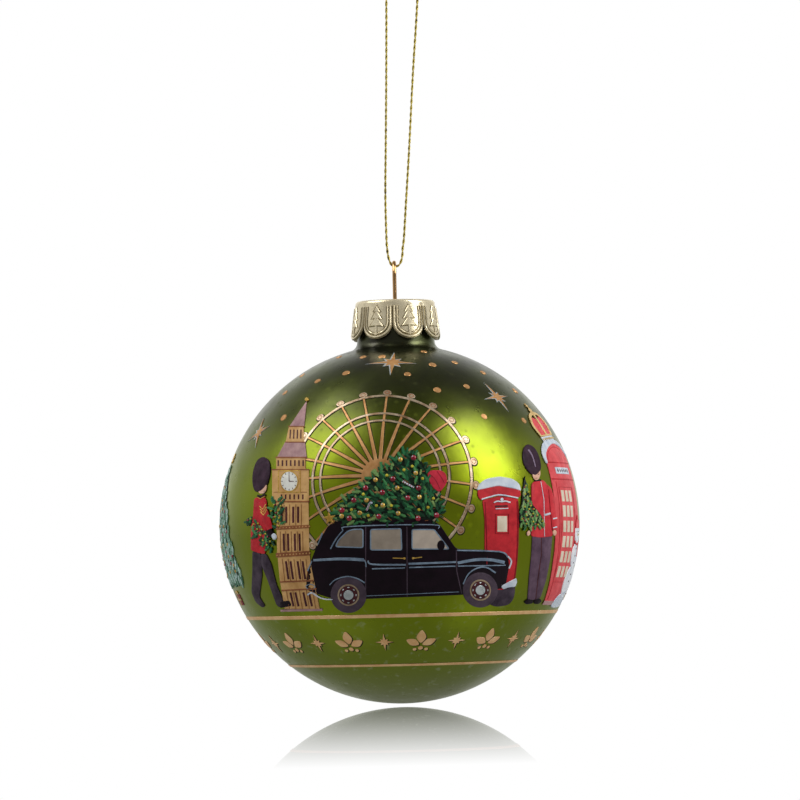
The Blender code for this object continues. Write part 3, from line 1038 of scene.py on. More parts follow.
CAB_BODY = [
    (-20.9, -14.5), (-20.7, -10.7), (-19.2, -6.7), (-18.1, -4.2), (-16.0, -0.4), (-13.8, 0.7),
    (6.7, 1.0), (8.9, -0.2), (12.5, -5.6), (22.3, -6.0), (24.1, -7.4), (24.3, -9.4), (23.4, -14.3),
    (13.8, -15.8), (-7.4, -16.7), (-15.6, -16.5), (-19.6, -15.2),
]  # fmt: skip
CAB_WHEELS = ((-11.4, -15.8, 4.0), (17.8, -14.7, 3.9))
CAB_PANES = (
    rounded([(-14.3, -5.1), (-13.6, -3.6), (-11.8, -1.8), (-10.7, -1.3), (-8.2, -1.2), (-8.2, -5.3)], 0.5),
    rounded([(-6.5, -1.3), (0.2, -1.1), (0.4, -5.8), (-6.5, -5.8)], 0.4),
    rounded([(2.7, -1.3), (7.6, -1.3), (10.9, -5.6), (2.7, -5.6)], 0.4),
)


def make_cab(settings):
    """A dark saloon taxi seen from its side, with lit edges, three panes and two wheels."""
    h = settings.plate_height
    plate("cab_body", "cab", CAB_BODY, 0.9, h, grid=1.6, chamfer=0.08)
    for i, pane in enumerate(CAB_PANES):
        printed(f"cab_pane_{i}", ("pane", "light_pane", "bright_pane")[i], [pane], h + 0.03)
    frames = [line for pane in CAB_PANES for line in stroke(pane, 0.26, closed=True)]
    roof = [(-15.4, -5.6), (-14.3, -3.6), (-12.7, -1.6), (-11.1, -0.6), (6.9, -0.2), (8.5, -1.1)]
    glints = [
        (flow(roof), 0.3, 0.2),
        (flow([(-19.2, -8.1), (-13.0, -7.8), (-8.0, -8.0)]), 0.5, 0.7),
        (flow([(-8.0, -8.0), (-7.6, -8.6), (-7.5, -9.6)]), 0.3, 0.2),
        (flow([(-7.1, -8.2), (-6.0, -9.0), (1.3, -9.1)]), 0.3, 0.4),
        ([(-6.2, -10.0), (1.1, -9.8)], 0.28, 0.22),
        ([(1.9, -8.9), (12.4, -8.5)], 0.45, 0.4),
        ([(2.0, -9.7), (12.3, -9.4)], 0.26, 0.26),
        (flow([(12.8, -8.7), (16.7, -8.0), (20.2, -8.0), (23.2, -8.6)]), 0.6, 0.7),
        ([(12.9, -9.4), (23.4, -9.2)], 0.26, 0.22),
        (flow([(12.7, -5.9), (22.1, -6.2), (23.9, -7.4)]), 0.3, 0.35),
        ([(-18.2, -4.6), (-17.2, -2.1)], 0.2, 0.35),
        ([(-20.5, -10.5), (-19.5, -8.2)], 0.3, 0.2),
        (flow([(-15.6, -13.6), (-14.3, -12.4), (-11.8, -11.7), (-9.6, -12.1), (-7.8, -13.1)]), 0.2, 0.3),
        (flow([(14.0, -13.4), (15.2, -11.1), (17.2, -9.8), (19.2, -9.7), (21.2, -10.9)]), 0.25, 0.35),
        ([(-7.5, -16.0), (13.0, -15.1)], 0.14, 0.14),
        (flow([(-20.9, -13.9), (-19.8, -13.4), (-18.8, -14.0), (-19.9, -14.6)], closed=True), 0.18, 0.18),
    ]
    for route, width, end_width in glints:
        frames += stroke(route, width, end_width)
    printed("cab_glints", "glint", frames, h + 0.06, chamfer=0.03)
    seams = stroke([(-7.6, -0.7), (-7.6, -16.2)], 0.2) + stroke([(1.55, -0.7), (1.6, -16.2)], 0.2)
    seams += stroke([(12.5, -5.8), (12.6, -10.5), (13.7, -15.5)], 0.2)
    printed("cab_seams", "tyre", seams, h + 0.015, chamfer=0.0)
    printed("cab_mirror", "cab", [oval(9.1, -4.8, 0.85, 1.15)], h + 0.09)
    chrome = stroke(
        flow([(-20.5, -15.8), (-19.6, -15.3), (-18.1, -16.2), (-16.7, -16.7), (-14.9, -16.8)]), 0.4, 0.25
    )
    chrome += stroke(flow([(23.9, -7.2), (24.7, -8.3), (24.2, -9.9)]), 0.35)
    printed("cab_bumper", "white", chrome, h + 0.06)
    grips = stroke([(-1.6, -7.6), (1.1, -7.7)], 0.2) + stroke([(2.7, -7.7), (4.9, -7.4)], 0.2)
    grips += [oval(1.0, -7.7, 0.25), oval(2.9, -7.65, 0.25)]
    printed("cab_handles", "gold", grips, h + 0.05, chamfer=0.03)
    tyres, hubs, dark, bright = [], [], [], []
    for x, y, size in CAB_WHEELS:
        tyres.append(oval(x, y, size, sides=40))
        hubs += ring(x, y, size * 0.56, 0.34, sides=36)
        dark += ring(x, y, size * 0.4, 0.8, sides=36)
        bright.append(oval(x, y, size * 0.27, sides=24))
        for i in range(8):
            a = math.tau * i / 8
            u, v = size * 0.42 * math.cos(a), size * 0.42 * math.sin(a)
            bright.append(oval(x + u, y + v, 0.13, 0.26, 10, math.degrees(a)))
    printed("cab_tyres", "tyre", tyres, h + 0.05, chamfer=0.08)
    printed("cab_wheel_rings", "rim", hubs, h + 0.1)
    printed("cab_wheel_wells", "slit", dark, h + 0.08)
    printed("cab_hub_caps", "silver", bright, h + 0.13)


TREE_OUTLINE = [
    (-15.4, 1.1), (-12.9, 4.5), (-8.9, 7.6), (-6.5, 10.0), (-4.0, 12.1), (-1.2, 13.7), (1.6, 15.7),
    (3.0, 15.2), (5.0, 13.9), (5.9, 11.4), (6.9, 7.8), (8.7, 5.6), (9.3, 2.2), (6.7, 0.4), (-12.3, 0.2),
]  # fmt: skip
SACK = [(6.0, 11.2), (6.9, 11.9), (9.1, 11.9), (10.3, 11.1), (10.5, 9.1), (8.9, 6.9), (7.6, 7.6), (6.4, 9.4)]
TREE_DROPS = {
    "crimson": (0.6, [
        (3.0, 14.6), (-1.6, 9.9), (-7.6, 7.9), (-3.9, 6.9), (-10.2, 5.2), (-12.8, 3.0),
        (-11.2, 1.2), (-4.7, 1.6), (1.7, 5.7), (4.1, 7.9), (4.0, 1.2), (8.1, 1.9),
    ]),
    "gold": (0.52, [
        (0.1, 14.2), (3.5, 11.2), (-0.6, 7.9), (-5.4, 9.7), (-7.4, 5.2),
        (-3.8, 4.1), (-8.9, 2.4), (-0.4, 2.3), (-12.9, 1.7), (4.3, 5.9),
    ]),
    "yellow": (0.34, [
        (2.7, 12.7), (-2.9, 10.7), (-8.1, 6.5), (-5.2, 4.0), (-1.9, 4.0), (-10.7, 3.1),
        (-7.0, 1.8), (5.0, 10.0), (7.4, 5.6), (4.2, 3.1), (0.9, 11.9), (6.2, 3.6),
    ]),
}  # fmt: skip


def scatter(outline, spacing, seed):
    """Places about spacing apart inside an outline, in a jittered grid, from its top down."""
    draw = random.Random(seed)
    low = [min(p[i] for p in outline) for i in (0, 1)]
    high = [max(p[i] for p in outline) for i in (0, 1)]
    made = []
    row = 0
    y = high[1]
    while y > low[1]:
        x = low[0] + (row % 2) * spacing / 2
        while x < high[0]:
            u, v = x + draw.uniform(-0.3, 0.3) * spacing, y + draw.uniform(-0.3, 0.3) * spacing
            if inside(u, v, outline):
                made.append((u, v))
            x += spacing
        y -= spacing * 0.8
        row += 1
    return made


def make_roof_tree(settings):
    """A dressed fir tied on the cab's roof, its star at the back and its foot in a red sack."""
    h = settings.plate_height
    draw = random.Random(4)
    plate("roof_tree_shade", "undergrowth", TREE_OUTLINE, 1.0, h * 0.8, chamfer=0.05)
    twigs, tints = [], []
    for x, y in scatter(TREE_OUTLINE, 1.0, 11):
        lean = math.degrees(math.atan2(y + 1.0, x - 7.5)) - 90 + draw.uniform(-46, 46)
        size = draw.uniform(1.2, 2.1)
        twigs += moved(sprig(size, size * 0.3, 6), x, y, lean, lift=draw.uniform(0.0, 0.14))
        tints.append(min(1.0, max(0.0, draw.gauss(0.46 - 0.012 * x, 0.3))))
    for a, b in zip(TREE_OUTLINE, TREE_OUTLINE[1:]):
        for share in (0.2, 0.5, 0.8):
            x, y = a[0] + (b[0] - a[0]) * share, a[1] + (b[1] - a[1]) * share
            lean = math.degrees(math.atan2(b[1] - a[1], b[0] - a[0])) + draw.uniform(-30, 30)
            twigs += moved(sprig(1.0, 0.3, 5), x, y, lean, lift=draw.uniform(0.0, 0.1))
            tints.append(draw.uniform(0.2, 0.75))
    printed("roof_tree_twigs", "needle", twigs, h + 0.02, chamfer=0.02, grid=COARSE, tints=tints)
    stems = []
    for x, y in scatter(TREE_OUTLINE, 2.6, 17):
        stems += stroke(
            [(x, y), (x - 0.9 + draw.uniform(-0.3, 0.3), y + draw.uniform(-0.3, 1.1))], 0.13, 0.07
        )
    printed("roof_tree_stems", "stone_shade", stems, h + 0.12, chamfer=0.0, grid=COARSE)
    plate("roof_tree_sack", "sack", SACK, 0.9, h + 0.12, chamfer=0.1)
    folds = stroke(flow([(6.5, 11.0), (7.8, 9.8), (8.9, 7.6)]), 0.2, 0.1)
    folds += stroke(flow([(8.2, 11.6), (9.2, 10.2), (9.9, 8.9)]), 0.2, 0.1)
    printed("roof_tree_sack_folds", "crimson", folds, h + 0.15, chamfer=0.03)
    for name, (size, places) in TREE_DROPS.items():
        drops = [face for x, y in places for face in dome(x, y, size, size * 0.5)]
        printed(f"roof_tree_drops_{name}", name, drops, h + 0.19, chamfer=0.0, grid=UNCUT)
    shine = [oval(x - 0.2, y + 0.22, 0.13) for x, y in TREE_DROPS["crimson"][1] + TREE_DROPS["gold"][1]]
    printed("roof_tree_drop_shine", "white", shine, h + 0.46, chamfer=0.0, grid=UNCUT)
    canes = stroke([(0.6, 9.4), (3.1, 8.0)], 0.36) + stroke(
        flow([(-7.4, 2.9), (-6.6, 4.6), (-6.1, 4.5)]), 0.36
    )
    printed("roof_tree_canes", "white", canes, h + 0.2, chamfer=0.03)
    stripes = []
    for start, end in (((0.6, 9.4), (3.1, 8.0)), ((-7.4, 2.9), (-6.6, 4.6))):
        for i in range(5):
            x, y = (a + (b - a) * (i + 0.5) / 5 for a, b in zip(start, end))
            stripes += stroke([(x - 0.1, y - 0.22), (x + 0.1, y + 0.22)], 0.14)
    printed("roof_tree_cane_stripes", "dark_red", stripes, h + 0.23, chamfer=0.0)
    printed("roof_tree_star", "gold", [star(-15.6, 1.2, [1.5] * 5, 0.62, 8)], h + 0.24, chamfer=0.08)


def make_tower(settings):
    """A tall stone clock tower with a slate spire, bands, window slits and a dial."""
    h = settings.plate_height
    shaft = [
        (-27.6, 5.0), (-20.3, 5.0), (-20.1, -5.6), (-19.9, -8.0), (-17.8, -18.9), (-25.6, -18.9),
        (-26.7, -12.5), (-27.3, -6.2),
    ]
    for name, wall, more in (
        ("shaft", shaft, 0.0),
        ("clock_stage", [(-28.4, 12.1), (-20.2, 12.1), (-20.2, 4.9), (-28.4, 4.9)], 0.03),
        ("belfry", [(-27.5, 14.7), (-21.0, 14.7), (-21.0, 12.0), (-27.5, 12.0)], 0.02),
        ("lantern", [(-24.7, 21.6), (-21.4, 21.6), (-21.3, 18.1), (-25.4, 18.1)], 0.02),
    ):
        printed(f"tower_{name}", "stone", [wall], h + more, chamfer=0.06, grid=1.4)
    roofs = [
        [(-20.7, 27.4), (-21.3, 21.6), (-24.6, 21.6)],
        [(-25.5, 18.2), (-21.1, 18.2), (-20.7, 14.6), (-27.4, 14.6)],
    ]
    for i, roof in enumerate(roofs):
        printed(f"tower_roof_{i}", "slate", [roof], h + 0.03, chamfer=0.06, grid=1.4)
    printed("tower_finial", "gold", [star(-20.7, 27.6, [0.55] * 8, 0.3)], h + 0.1, chamfer=0.03)
    slits, courses = [], []
    rows = (
        # top, foot, left, right, how far the foot leans
        (3.8, 0.2, -26.2, -22.6, 0.0),
        (-2.2, -6.0, -25.8, -22.3, 0.1),
        (-8.3, -12.3, -25.3, -21.6, 0.6),
        (-15.2, -18.3, -24.3, -20.2, 0.7),
    )
    for top, foot, left, right, lean in rows:
        for share in (0.0, 0.27, 0.7, 1.0):
            x = left + (right - left) * share
            slits += stroke([(x, top), (x + lean, foot)], 0.46)
        for share in (-0.22, 0.13, 0.48, 0.86, 1.2):
            x = left + (right - left) * share
            courses += stroke([(x, top + 0.5), (x + lean, foot - 0.5)], 0.13)
    short_rows = (
        # how many, the first one's top and foot, the steps along at its top and foot, and its width
        (7, (-27.0, 14.1), (-27.0, 12.8), (0.92, 0.92), 0.34),
        (6, (-26.3, 6.5), (-26.3, 5.4), (0.95, 0.95), 0.36),
        (4, (-24.3, 20.9), (-24.4, 18.9), (0.78, 0.8), 0.28),
    )
    for count, top, foot, steps, width in short_rows:
        for i in range(count):
            slits += stroke([(top[0] + i * steps[0], top[1]), (foot[0] + i * steps[1], foot[1])], width)
    printed("tower_slits", "slit", slits, h + 0.05, chamfer=0.03)
    bands = [
        ([(-27.6, -1.0), (-20.2, -0.6)], 0.75),
        ([(-27.5, -7.0), (-20.0, -6.5)], 1.0),
        ([(-26.7, -12.9), (-19.1, -12.6)], 0.35),
        ([(-26.3, -14.8), (-18.5, -14.4)], 0.35),
        ([(-28.5, 12.0), (-20.1, 12.0)], 0.3),
        ([(-28.5, 4.9), (-20.1, 4.9)], 0.35),
        ([(-28.0, 7.0), (-20.6, 7.0)], 0.16),
        ([(-27.6, 14.7), (-20.7, 14.7)], 0.35),
        ([(-25.5, 18.1), (-21.1, 18.1)], 0.25),
        ([(-24.8, 21.6), (-21.2, 21.6)], 0.25),
    ]
    for route, width in bands:
        courses += stroke(route, width)
    printed("tower_courses", "stone_shade", courses, h + 0.07, chamfer=0.03)
    studs = [oval(-27.3 + i * 0.72, -0.98 + i * 0.04, 0.13, sides=8) for i in range(11)]
    studs += [oval(-27.2 + i * 0.72, -7.0 + i * 0.05, 0.16, sides=8) for i in range(11)]
    printed("tower_studs", "stone", studs, h + 0.1, chamfer=0.0)
    printed("tower_plinth", "slate", stroke([(-26.5, -19.3), (-17.2, -19.1)], 0.5), h, chamfer=0.05)
    x, y = -24.55, 9.4
    frame_lines = stroke(
        [(x - 2.4, y - 2.4), (x + 2.4, y - 2.4), (x + 2.4, y + 2.4), (x - 2.4, y + 2.4)], 0.3, closed=True
    )
    printed("tower_clock_frame", "gold", frame_lines + ring(x, y, 1.95, 0.25, 2.25), h + 0.11, chamfer=0.04)
    printed("tower_dial", "dial", [oval(x, y, 1.85, 2.15, 36)], h + 0.09)
    marks = stroke([(x, y), (x, y + 1.6)], 0.16, 0.1) + stroke([(x, y), (x + 1.05, y)], 0.2, 0.12)
    for i in range(12):
        a = math.tau * i / 12
        u, v = 1.85 * math.cos(a), 2.15 * math.sin(a)
        marks += stroke([(x + u * 0.78, y + v * 0.78), (x + u * 0.93, y + v * 0.93)], 0.14)
    printed("tower_dial_marks", "slit", marks, h + 0.12, chamfer=0.0)


def make_marching_guard(settings):
    """A toy-like guardsman who carries a small fir under the arm."""
    h = settings.plate_height + 0.03
    fur = [
        (-32.7, 8.9), (-32.6, 11.6), (-31.7, 14.0), (-30.3, 14.8), (-29.1, 13.9), (-28.8, 11.8),
        (-29.4, 8.9), (-30.8, 7.3), (-32.1, 7.2),
    ]
    printed("march_bearskin", "bearskin", [flow(fur, closed=True)], h + 0.12, chamfer=0.12, grid=1.2)
    face = [(-31.5, 8.8), (-29.6, 9.0), (-29.5, 7.9), (-30.0, 6.7), (-31.3, 6.6)]
    plate("march_face", "skin", face, 0.6, h + 0.08)
    features = stroke([(-30.35, 8.2), (-29.95, 8.2)], 0.12) + stroke([(-30.2, 7.2), (-29.85, 7.25)], 0.1)
    printed("march_features", "slit", features, h + 0.1, chamfer=0.0)
    back = [
        (-32.8, -6.0), (-30.8, -6.7), (-30.6, -11.4), (-31.2, -16.3), (-29.9, -18.3), (-30.5, -18.7),
        (-32.1, -17.4), (-33.0, -15.2), (-32.8, -10.3),
    ]
    front = [
        (-30.8, -6.4), (-29.6, -6.8), (-28.5, -9.1), (-27.4, -13.6), (-25.8, -17.2), (-26.5, -18.7),
        (-27.4, -18.1), (-29.4, -12.5), (-30.8, -9.1),
    ]
    plate("march_back_leg", "trousers", back, 0.6, h, chamfer=0.08, grid=1.2)
    plate("march_front_leg", "trousers", front, 0.6, h + 0.03, chamfer=0.08, grid=1.2)
    shoe = [(-26.6, -17.3), (-24.5, -17.0), (-24.0, -18.2), (-26.6, -18.7)]
    plate("march_shoe", "cab", shoe, 0.4, h + 0.05)
    jacket = [
        (-32.4, 5.6), (-30.5, 6.3), (-29.6, 5.3), (-29.5, 2.0), (-29.7, -1.3), (-29.6, -3.6), (-29.9, -6.8),
        (-31.4, -6.5), (-33.1, -5.9), (-33.1, -1.3), (-32.6, 2.0),
    ]
    plate("march_jacket", "red", jacket, 0.5, h + 0.05, chamfer=0.08, grid=1.2)
    twigs, tints = [], []
    draw = random.Random(21)
    bundles = (
        [(-28.6, 4.6), (-26.4, 5.2), (-26.1, 2.0), (-26.9, -1.4), (-28.2, -1.0)],
        [
            (-33.9, 1.9), (-32.6, 2.2), (-30.0, -1.0), (-28.0, -4.6), (-28.9, -5.6), (-31.2, -3.6),
            (-33.4, 0.0),
        ],
    )
    for number, bundle in enumerate(bundles):
        for x, y in scatter(bundle, 0.85, 31 + number):
            lean = draw.uniform(-70, 70) + 150 * number
            twigs += moved(sprig(1.5, 0.42, 3), x, y, lean, lift=draw.uniform(0, 0.12))
            tints.append(draw.uniform(0.1, 0.85))
    printed("march_fir", "needle", twigs, h + 0.1, chamfer=0.02, grid=COARSE, tints=tints)
    kinds = (("drops", "yellow", 1.5, 41, 0.22), ("berries", "crimson", 1.7, 43, 0.2))
    for name, finish, spacing, seed, size in kinds:
        places = [place for bundle in bundles for place in scatter(bundle, spacing, seed)]
        drops = [part for x, y in places for part in dome(x, y, size, 0.14, 8)]
        printed(f"march_fir_{name}", finish, drops, h + 0.22, chamfer=0.0, grid=UNCUT)
    sleeve = [(-31.2, 5.0), (-29.9, 4.9), (-29.1, 2.5), (-28.1, -0.9), (-29.2, -1.9), (-30.5, 0.9)]
    plate("march_sleeve", "red", sleeve, 0.5, h + 0.2, chamfer=0.1)
    printed("march_cuff", "cab", [[(-29.5, -1.5), (-28.4, -1.0), (-27.9, -2.3), (-29.0, -3.1)]], h + 0.24)
    printed("march_glove", "white", [oval(-27.8, -2.8, 0.55, 0.75, 16, 20)], h + 0.25, chamfer=0.1)
    stripe, stripes = ((-31.0, 3.9), (-30.3, 3.1), (-29.6, 4.3)), []
    for i in range(3):
        stripes += stroke([(x + 0.1 * i, y - 0.62 * i) for x, y in stripe], 0.24)
    printed("march_stripes", "gold", stripes, h + 0.24, chamfer=0.03)
    collar = stroke([(-31.6, 6.3), (-30.9, 5.9), (-29.9, 6.5)], 0.5)
    printed("march_collar", "cab", collar, h + 0.1)
    edge = stroke([(-31.5, 5.9), (-30.9, 5.5), (-29.9, 6.1)], 0.14)
    printed("march_collar_edge", "gold", edge, h + 0.13, chamfer=0.0)


def make_post_box(settings):
    """A round pillar box in the snow: snow cap, rim, body, slot, notice and drift."""
    h = settings.plate_height
    body = [
        (18.3, 5.3), (22.1, 6.2), (26.3, 5.6), (26.5, 0.9), (26.4, -4.7), (26.1, -8.0), (25.6, -12.9),
        (23.0, -14.7), (19.2, -14.7), (18.8, -8.0), (18.8, 0.9),
    ]
    rim = [
        (17.2, 7.6), (21.8, 8.5), (26.7, 7.6), (26.9, 6.2), (26.1, 5.6), (22.1, 6.5), (17.9, 5.2),
        (17.3, 6.0),
    ]
    snow = [
        (16.9, 7.3), (17.6, 8.9), (19.2, 10.0), (22.1, 10.5), (25.0, 10.0), (26.5, 8.9), (27.0, 7.1),
        (25.6, 7.7), (21.8, 8.4), (18.5, 7.7),
    ]
    base = [
        (19.6, -14.0), (23.0, -13.4), (25.6, -13.2), (25.6, -15.2), (25.2, -16.9), (24.1, -18.1),
        (21.2, -18.5), (19.6, -17.8),
    ]
    drift = [
        (22.4, -13.8), (24.1, -12.9), (25.8, -12.0), (26.0, -12.9), (25.6, -14.0), (24.1, -14.1),
        (22.8, -14.6),
    ]
    plate("box_base", "trousers", base, 0.8, h - 0.03, chamfer=0.08)
    plate("box_body", "red", body, 0.5, h - 0.02, chamfer=0.08, grid=1.4)
    shade = stroke(flow([(26.1, 5.0), (26.2, 0.0), (26.0, -7.0), (25.4, -12.6)]), 0.5, 0.35)
    shade += stroke([(18.9, 4.8), (19.2, -2.0), (19.3, -9.0)], 0.3)
    printed("box_shade", "dark_red", shade, h, chamfer=0.03)
    plate("box_rim", "red", rim, 0.5, h + 0.05, chamfer=0.1)
    plate("box_snow", "white", snow, 0.7, h + 0.14, chamfer=0.14)
    plate("box_drift", "white", drift, 0.4, h + 0.1, chamfer=0.1)
    lines = stroke(flow([(18.1, 5.4), (20.1, 6.0), (22.3, 6.4), (26.2, 5.7)]), 0.3)
    lines += stroke(flow([(20.8, 4.7), (21.6, 5.0), (22.5, 4.9), (23.4, 5.0), (24.5, 4.7)]), 0.3)
    lines += stroke([(21.2, 3.3), (24.0, 3.4)], 0.2)
    printed("box_lines", "white", lines + [oval(22.6, 5.4, 0.35)], h + 0.12, chamfer=0.03)
    printed("box_slot", "slit", stroke([(21.1, 3.85), (23.9, 3.95)], 0.38), h + 0.05, chamfer=0.0)
    notice_edge = stroke([(21.2, 2.1), (24.1, 2.1), (24.1, -2.2), (21.2, -2.2)], 0.16, closed=True)
    printed("box_notice_edge", "dark_red", notice_edge, h + 0.03, chamfer=0.0)
    printed("box_notice", "cream", [[(21.6, 1.7), (23.8, 1.7), (23.8, -1.8), (21.6, -1.8)]], h + 0.04)


def make_standing_guard(settings):
    """A toy-like guardsman who stands with a small dressed fir in front."""
    h = settings.plate_height
    fur = [
        (27.2, 15.4), (27.6, 17.0), (28.5, 17.6), (29.9, 16.8), (30.9, 14.9), (31.3, 12.5), (30.6, 11.1),
        (29.6, 10.8), (28.3, 11.9), (27.4, 13.6),
    ]
    face = [(29.2, 12.2), (31.0, 12.3), (31.2, 11.1), (30.8, 9.8), (30.0, 9.5), (29.4, 10.5)]
    plate("stand_face", "skin", face, 0.6, h + 0.1)
    features = stroke([(29.75, 10.95), (30.0, 10.95)], 0.12) + stroke([(30.55, 10.95), (30.8, 10.95)], 0.12)
    features += stroke([(30.0, 10.1), (30.45, 10.1)], 0.09)
    printed("stand_features", "slit", features, h + 0.12, chamfer=0.0)
    printed("stand_bearskin", "bearskin", [flow(fur, closed=True)], h + 0.14, chamfer=0.12, grid=1.2)
    # A paler streak down the bearskin: painted highlight.
    fur_light = stroke(flow([(28.4, 16.4), (29.3, 15.0), (30.0, 12.6)]), 0.36, 0.2)
    printed("stand_fur_light", "fur_light", fur_light, h + 0.16, chamfer=0.03)
    left = [
        (29.4, -2.7), (31.4, -2.8), (31.4, -6.9), (30.8, -11.4), (30.1, -16.9), (28.3, -16.9),
        (28.7, -11.4), (29.2, -6.9),
    ]
    right = [
        (31.4, -2.8), (33.9, -2.7), (33.4, -8.0), (32.5, -12.5), (31.2, -16.5), (30.1, -16.9),
        (30.9, -11.4), (31.45, -6.9),
    ]
    plate("stand_left_leg", "lit_trousers", left, 0.4, h, chamfer=0.08, grid=1.2)
    plate("stand_right_leg", "lit_trousers", right, 0.4, h, chamfer=0.08, grid=1.2)
    creases = stroke([(31.35, -3.0), (31.35, -7.0), (30.6, -12.0), (30.1, -16.7)], 0.16)
    printed("stand_creases", "slit", creases, h + 0.03, chamfer=0.0)
    shoes = [
        [(27.5, -17.3), (28.4, -16.7), (29.6, -16.9), (29.4, -17.7), (27.9, -17.9)],
        [(29.7, -16.9), (31.0, -16.5), (31.5, -17.2), (30.8, -17.8), (29.7, -17.8)],
    ]
    printed("stand_shoes", "cab", [rounded(shoe, 0.3) for shoe in shoes], h + 0.04)
    torso = [
        (29.2, 8.9), (30.3, 9.7), (31.9, 9.7), (32.8, 8.5), (33.2, 5.3), (33.6, 2.0), (33.9, -2.8),
        (31.2, -3.1), (29.1, -2.8), (29.3, 2.0), (29.2, 6.5),
    ]
    plate("stand_jacket", "lit_red", torso, 0.5, h + 0.06, chamfer=0.08, grid=1.2)
    sleeve = [
        (32.5, 8.9), (33.6, 7.9), (34.3, 5.3), (34.8, 1.3), (34.8, -1.3), (33.9, -1.6), (33.6, 1.3),
        (33.0, 5.3),
    ]
    plate("stand_sleeve", "lit_red", sleeve, 0.5, h + 0.1, chamfer=0.1, grid=1.2)
    arm_line = stroke([(32.9, 7.6), (33.3, 3.0), (33.7, -1.4)], 0.14)
    printed("stand_arm_line", "dark_red", arm_line, h + 0.13, chamfer=0.0)
    trim = stroke([(31.2, 9.4), (31.9, 5.3), (32.0, -2.8)], 0.12) + stroke([(32.1, 1.95), (33.4, 2.3)], 0.42)
    trim += stroke([(33.9, 1.1), (34.8, 1.3)], 0.3) + stroke([(33.9, -0.9), (34.8, -0.7)], 0.25)
    printed("stand_trim", "white", trim, h + 0.12, chamfer=0.02)
    printed("stand_collar", "cab", stroke([(29.9, 9.5), (31.3, 9.7)], 0.4), h + 0.1)
    hands = [oval(28.5, -2.1, 0.38, 0.6, 14, -15), oval(34.3, -2.0, 0.42, 0.65, 14)]
    printed("stand_hands", "skin", hands, h + 0.13, chamfer=0.08)
    outline = [
        (27.6, 10.5), (28.7, 6.5), (29.4, 4.2), (31.2, 2.0), (31.9, 0.4), (30.3, -0.4), (28.5, -0.7),
        (26.7, -0.2), (26.3, 1.3), (26.9, 4.2), (27.2, 7.6),
    ]
    small_fir("stand_fir", outline, h + 0.15, (27.6, 12.0), 51)


def small_fir(name, outline, height, crown, seed):
    """A little dressed fir in front of a figure: its shade, twigs that hang from its crown, and drops."""
    draw = random.Random(seed)
    plate(f"{name}_shade", "undergrowth", outline, 0.4, height, chamfer=0.05)
    twigs, tints = [], []
    for x, y in scatter(outline, 0.85, seed + 1):
        lean = math.degrees(math.atan2(y - crown[1], x - crown[0])) - 90 + draw.uniform(-25, 25)
        twigs += moved(sprig(1.2, 0.36, 4), x, y, lean, lift=draw.uniform(0, 0.1))
        tints.append(draw.uniform(0.2, 0.95))
    printed(f"{name}_twigs", "bright_needle", twigs, height + 0.03, chamfer=0.02, grid=COARSE, tints=tints)
    for finish, spacing, size in (("yellow", 1.35, 0.2), ("crimson", 1.6, 0.19)):
        places = scatter(outline, spacing, seed + len(finish))
        drops = [part for x, y in places for part in dome(x, y, size, 0.13, 8)]
        printed(f"{name}_drops_{finish}", finish, drops, height + 0.14, chamfer=0.0, grid=UNCUT)


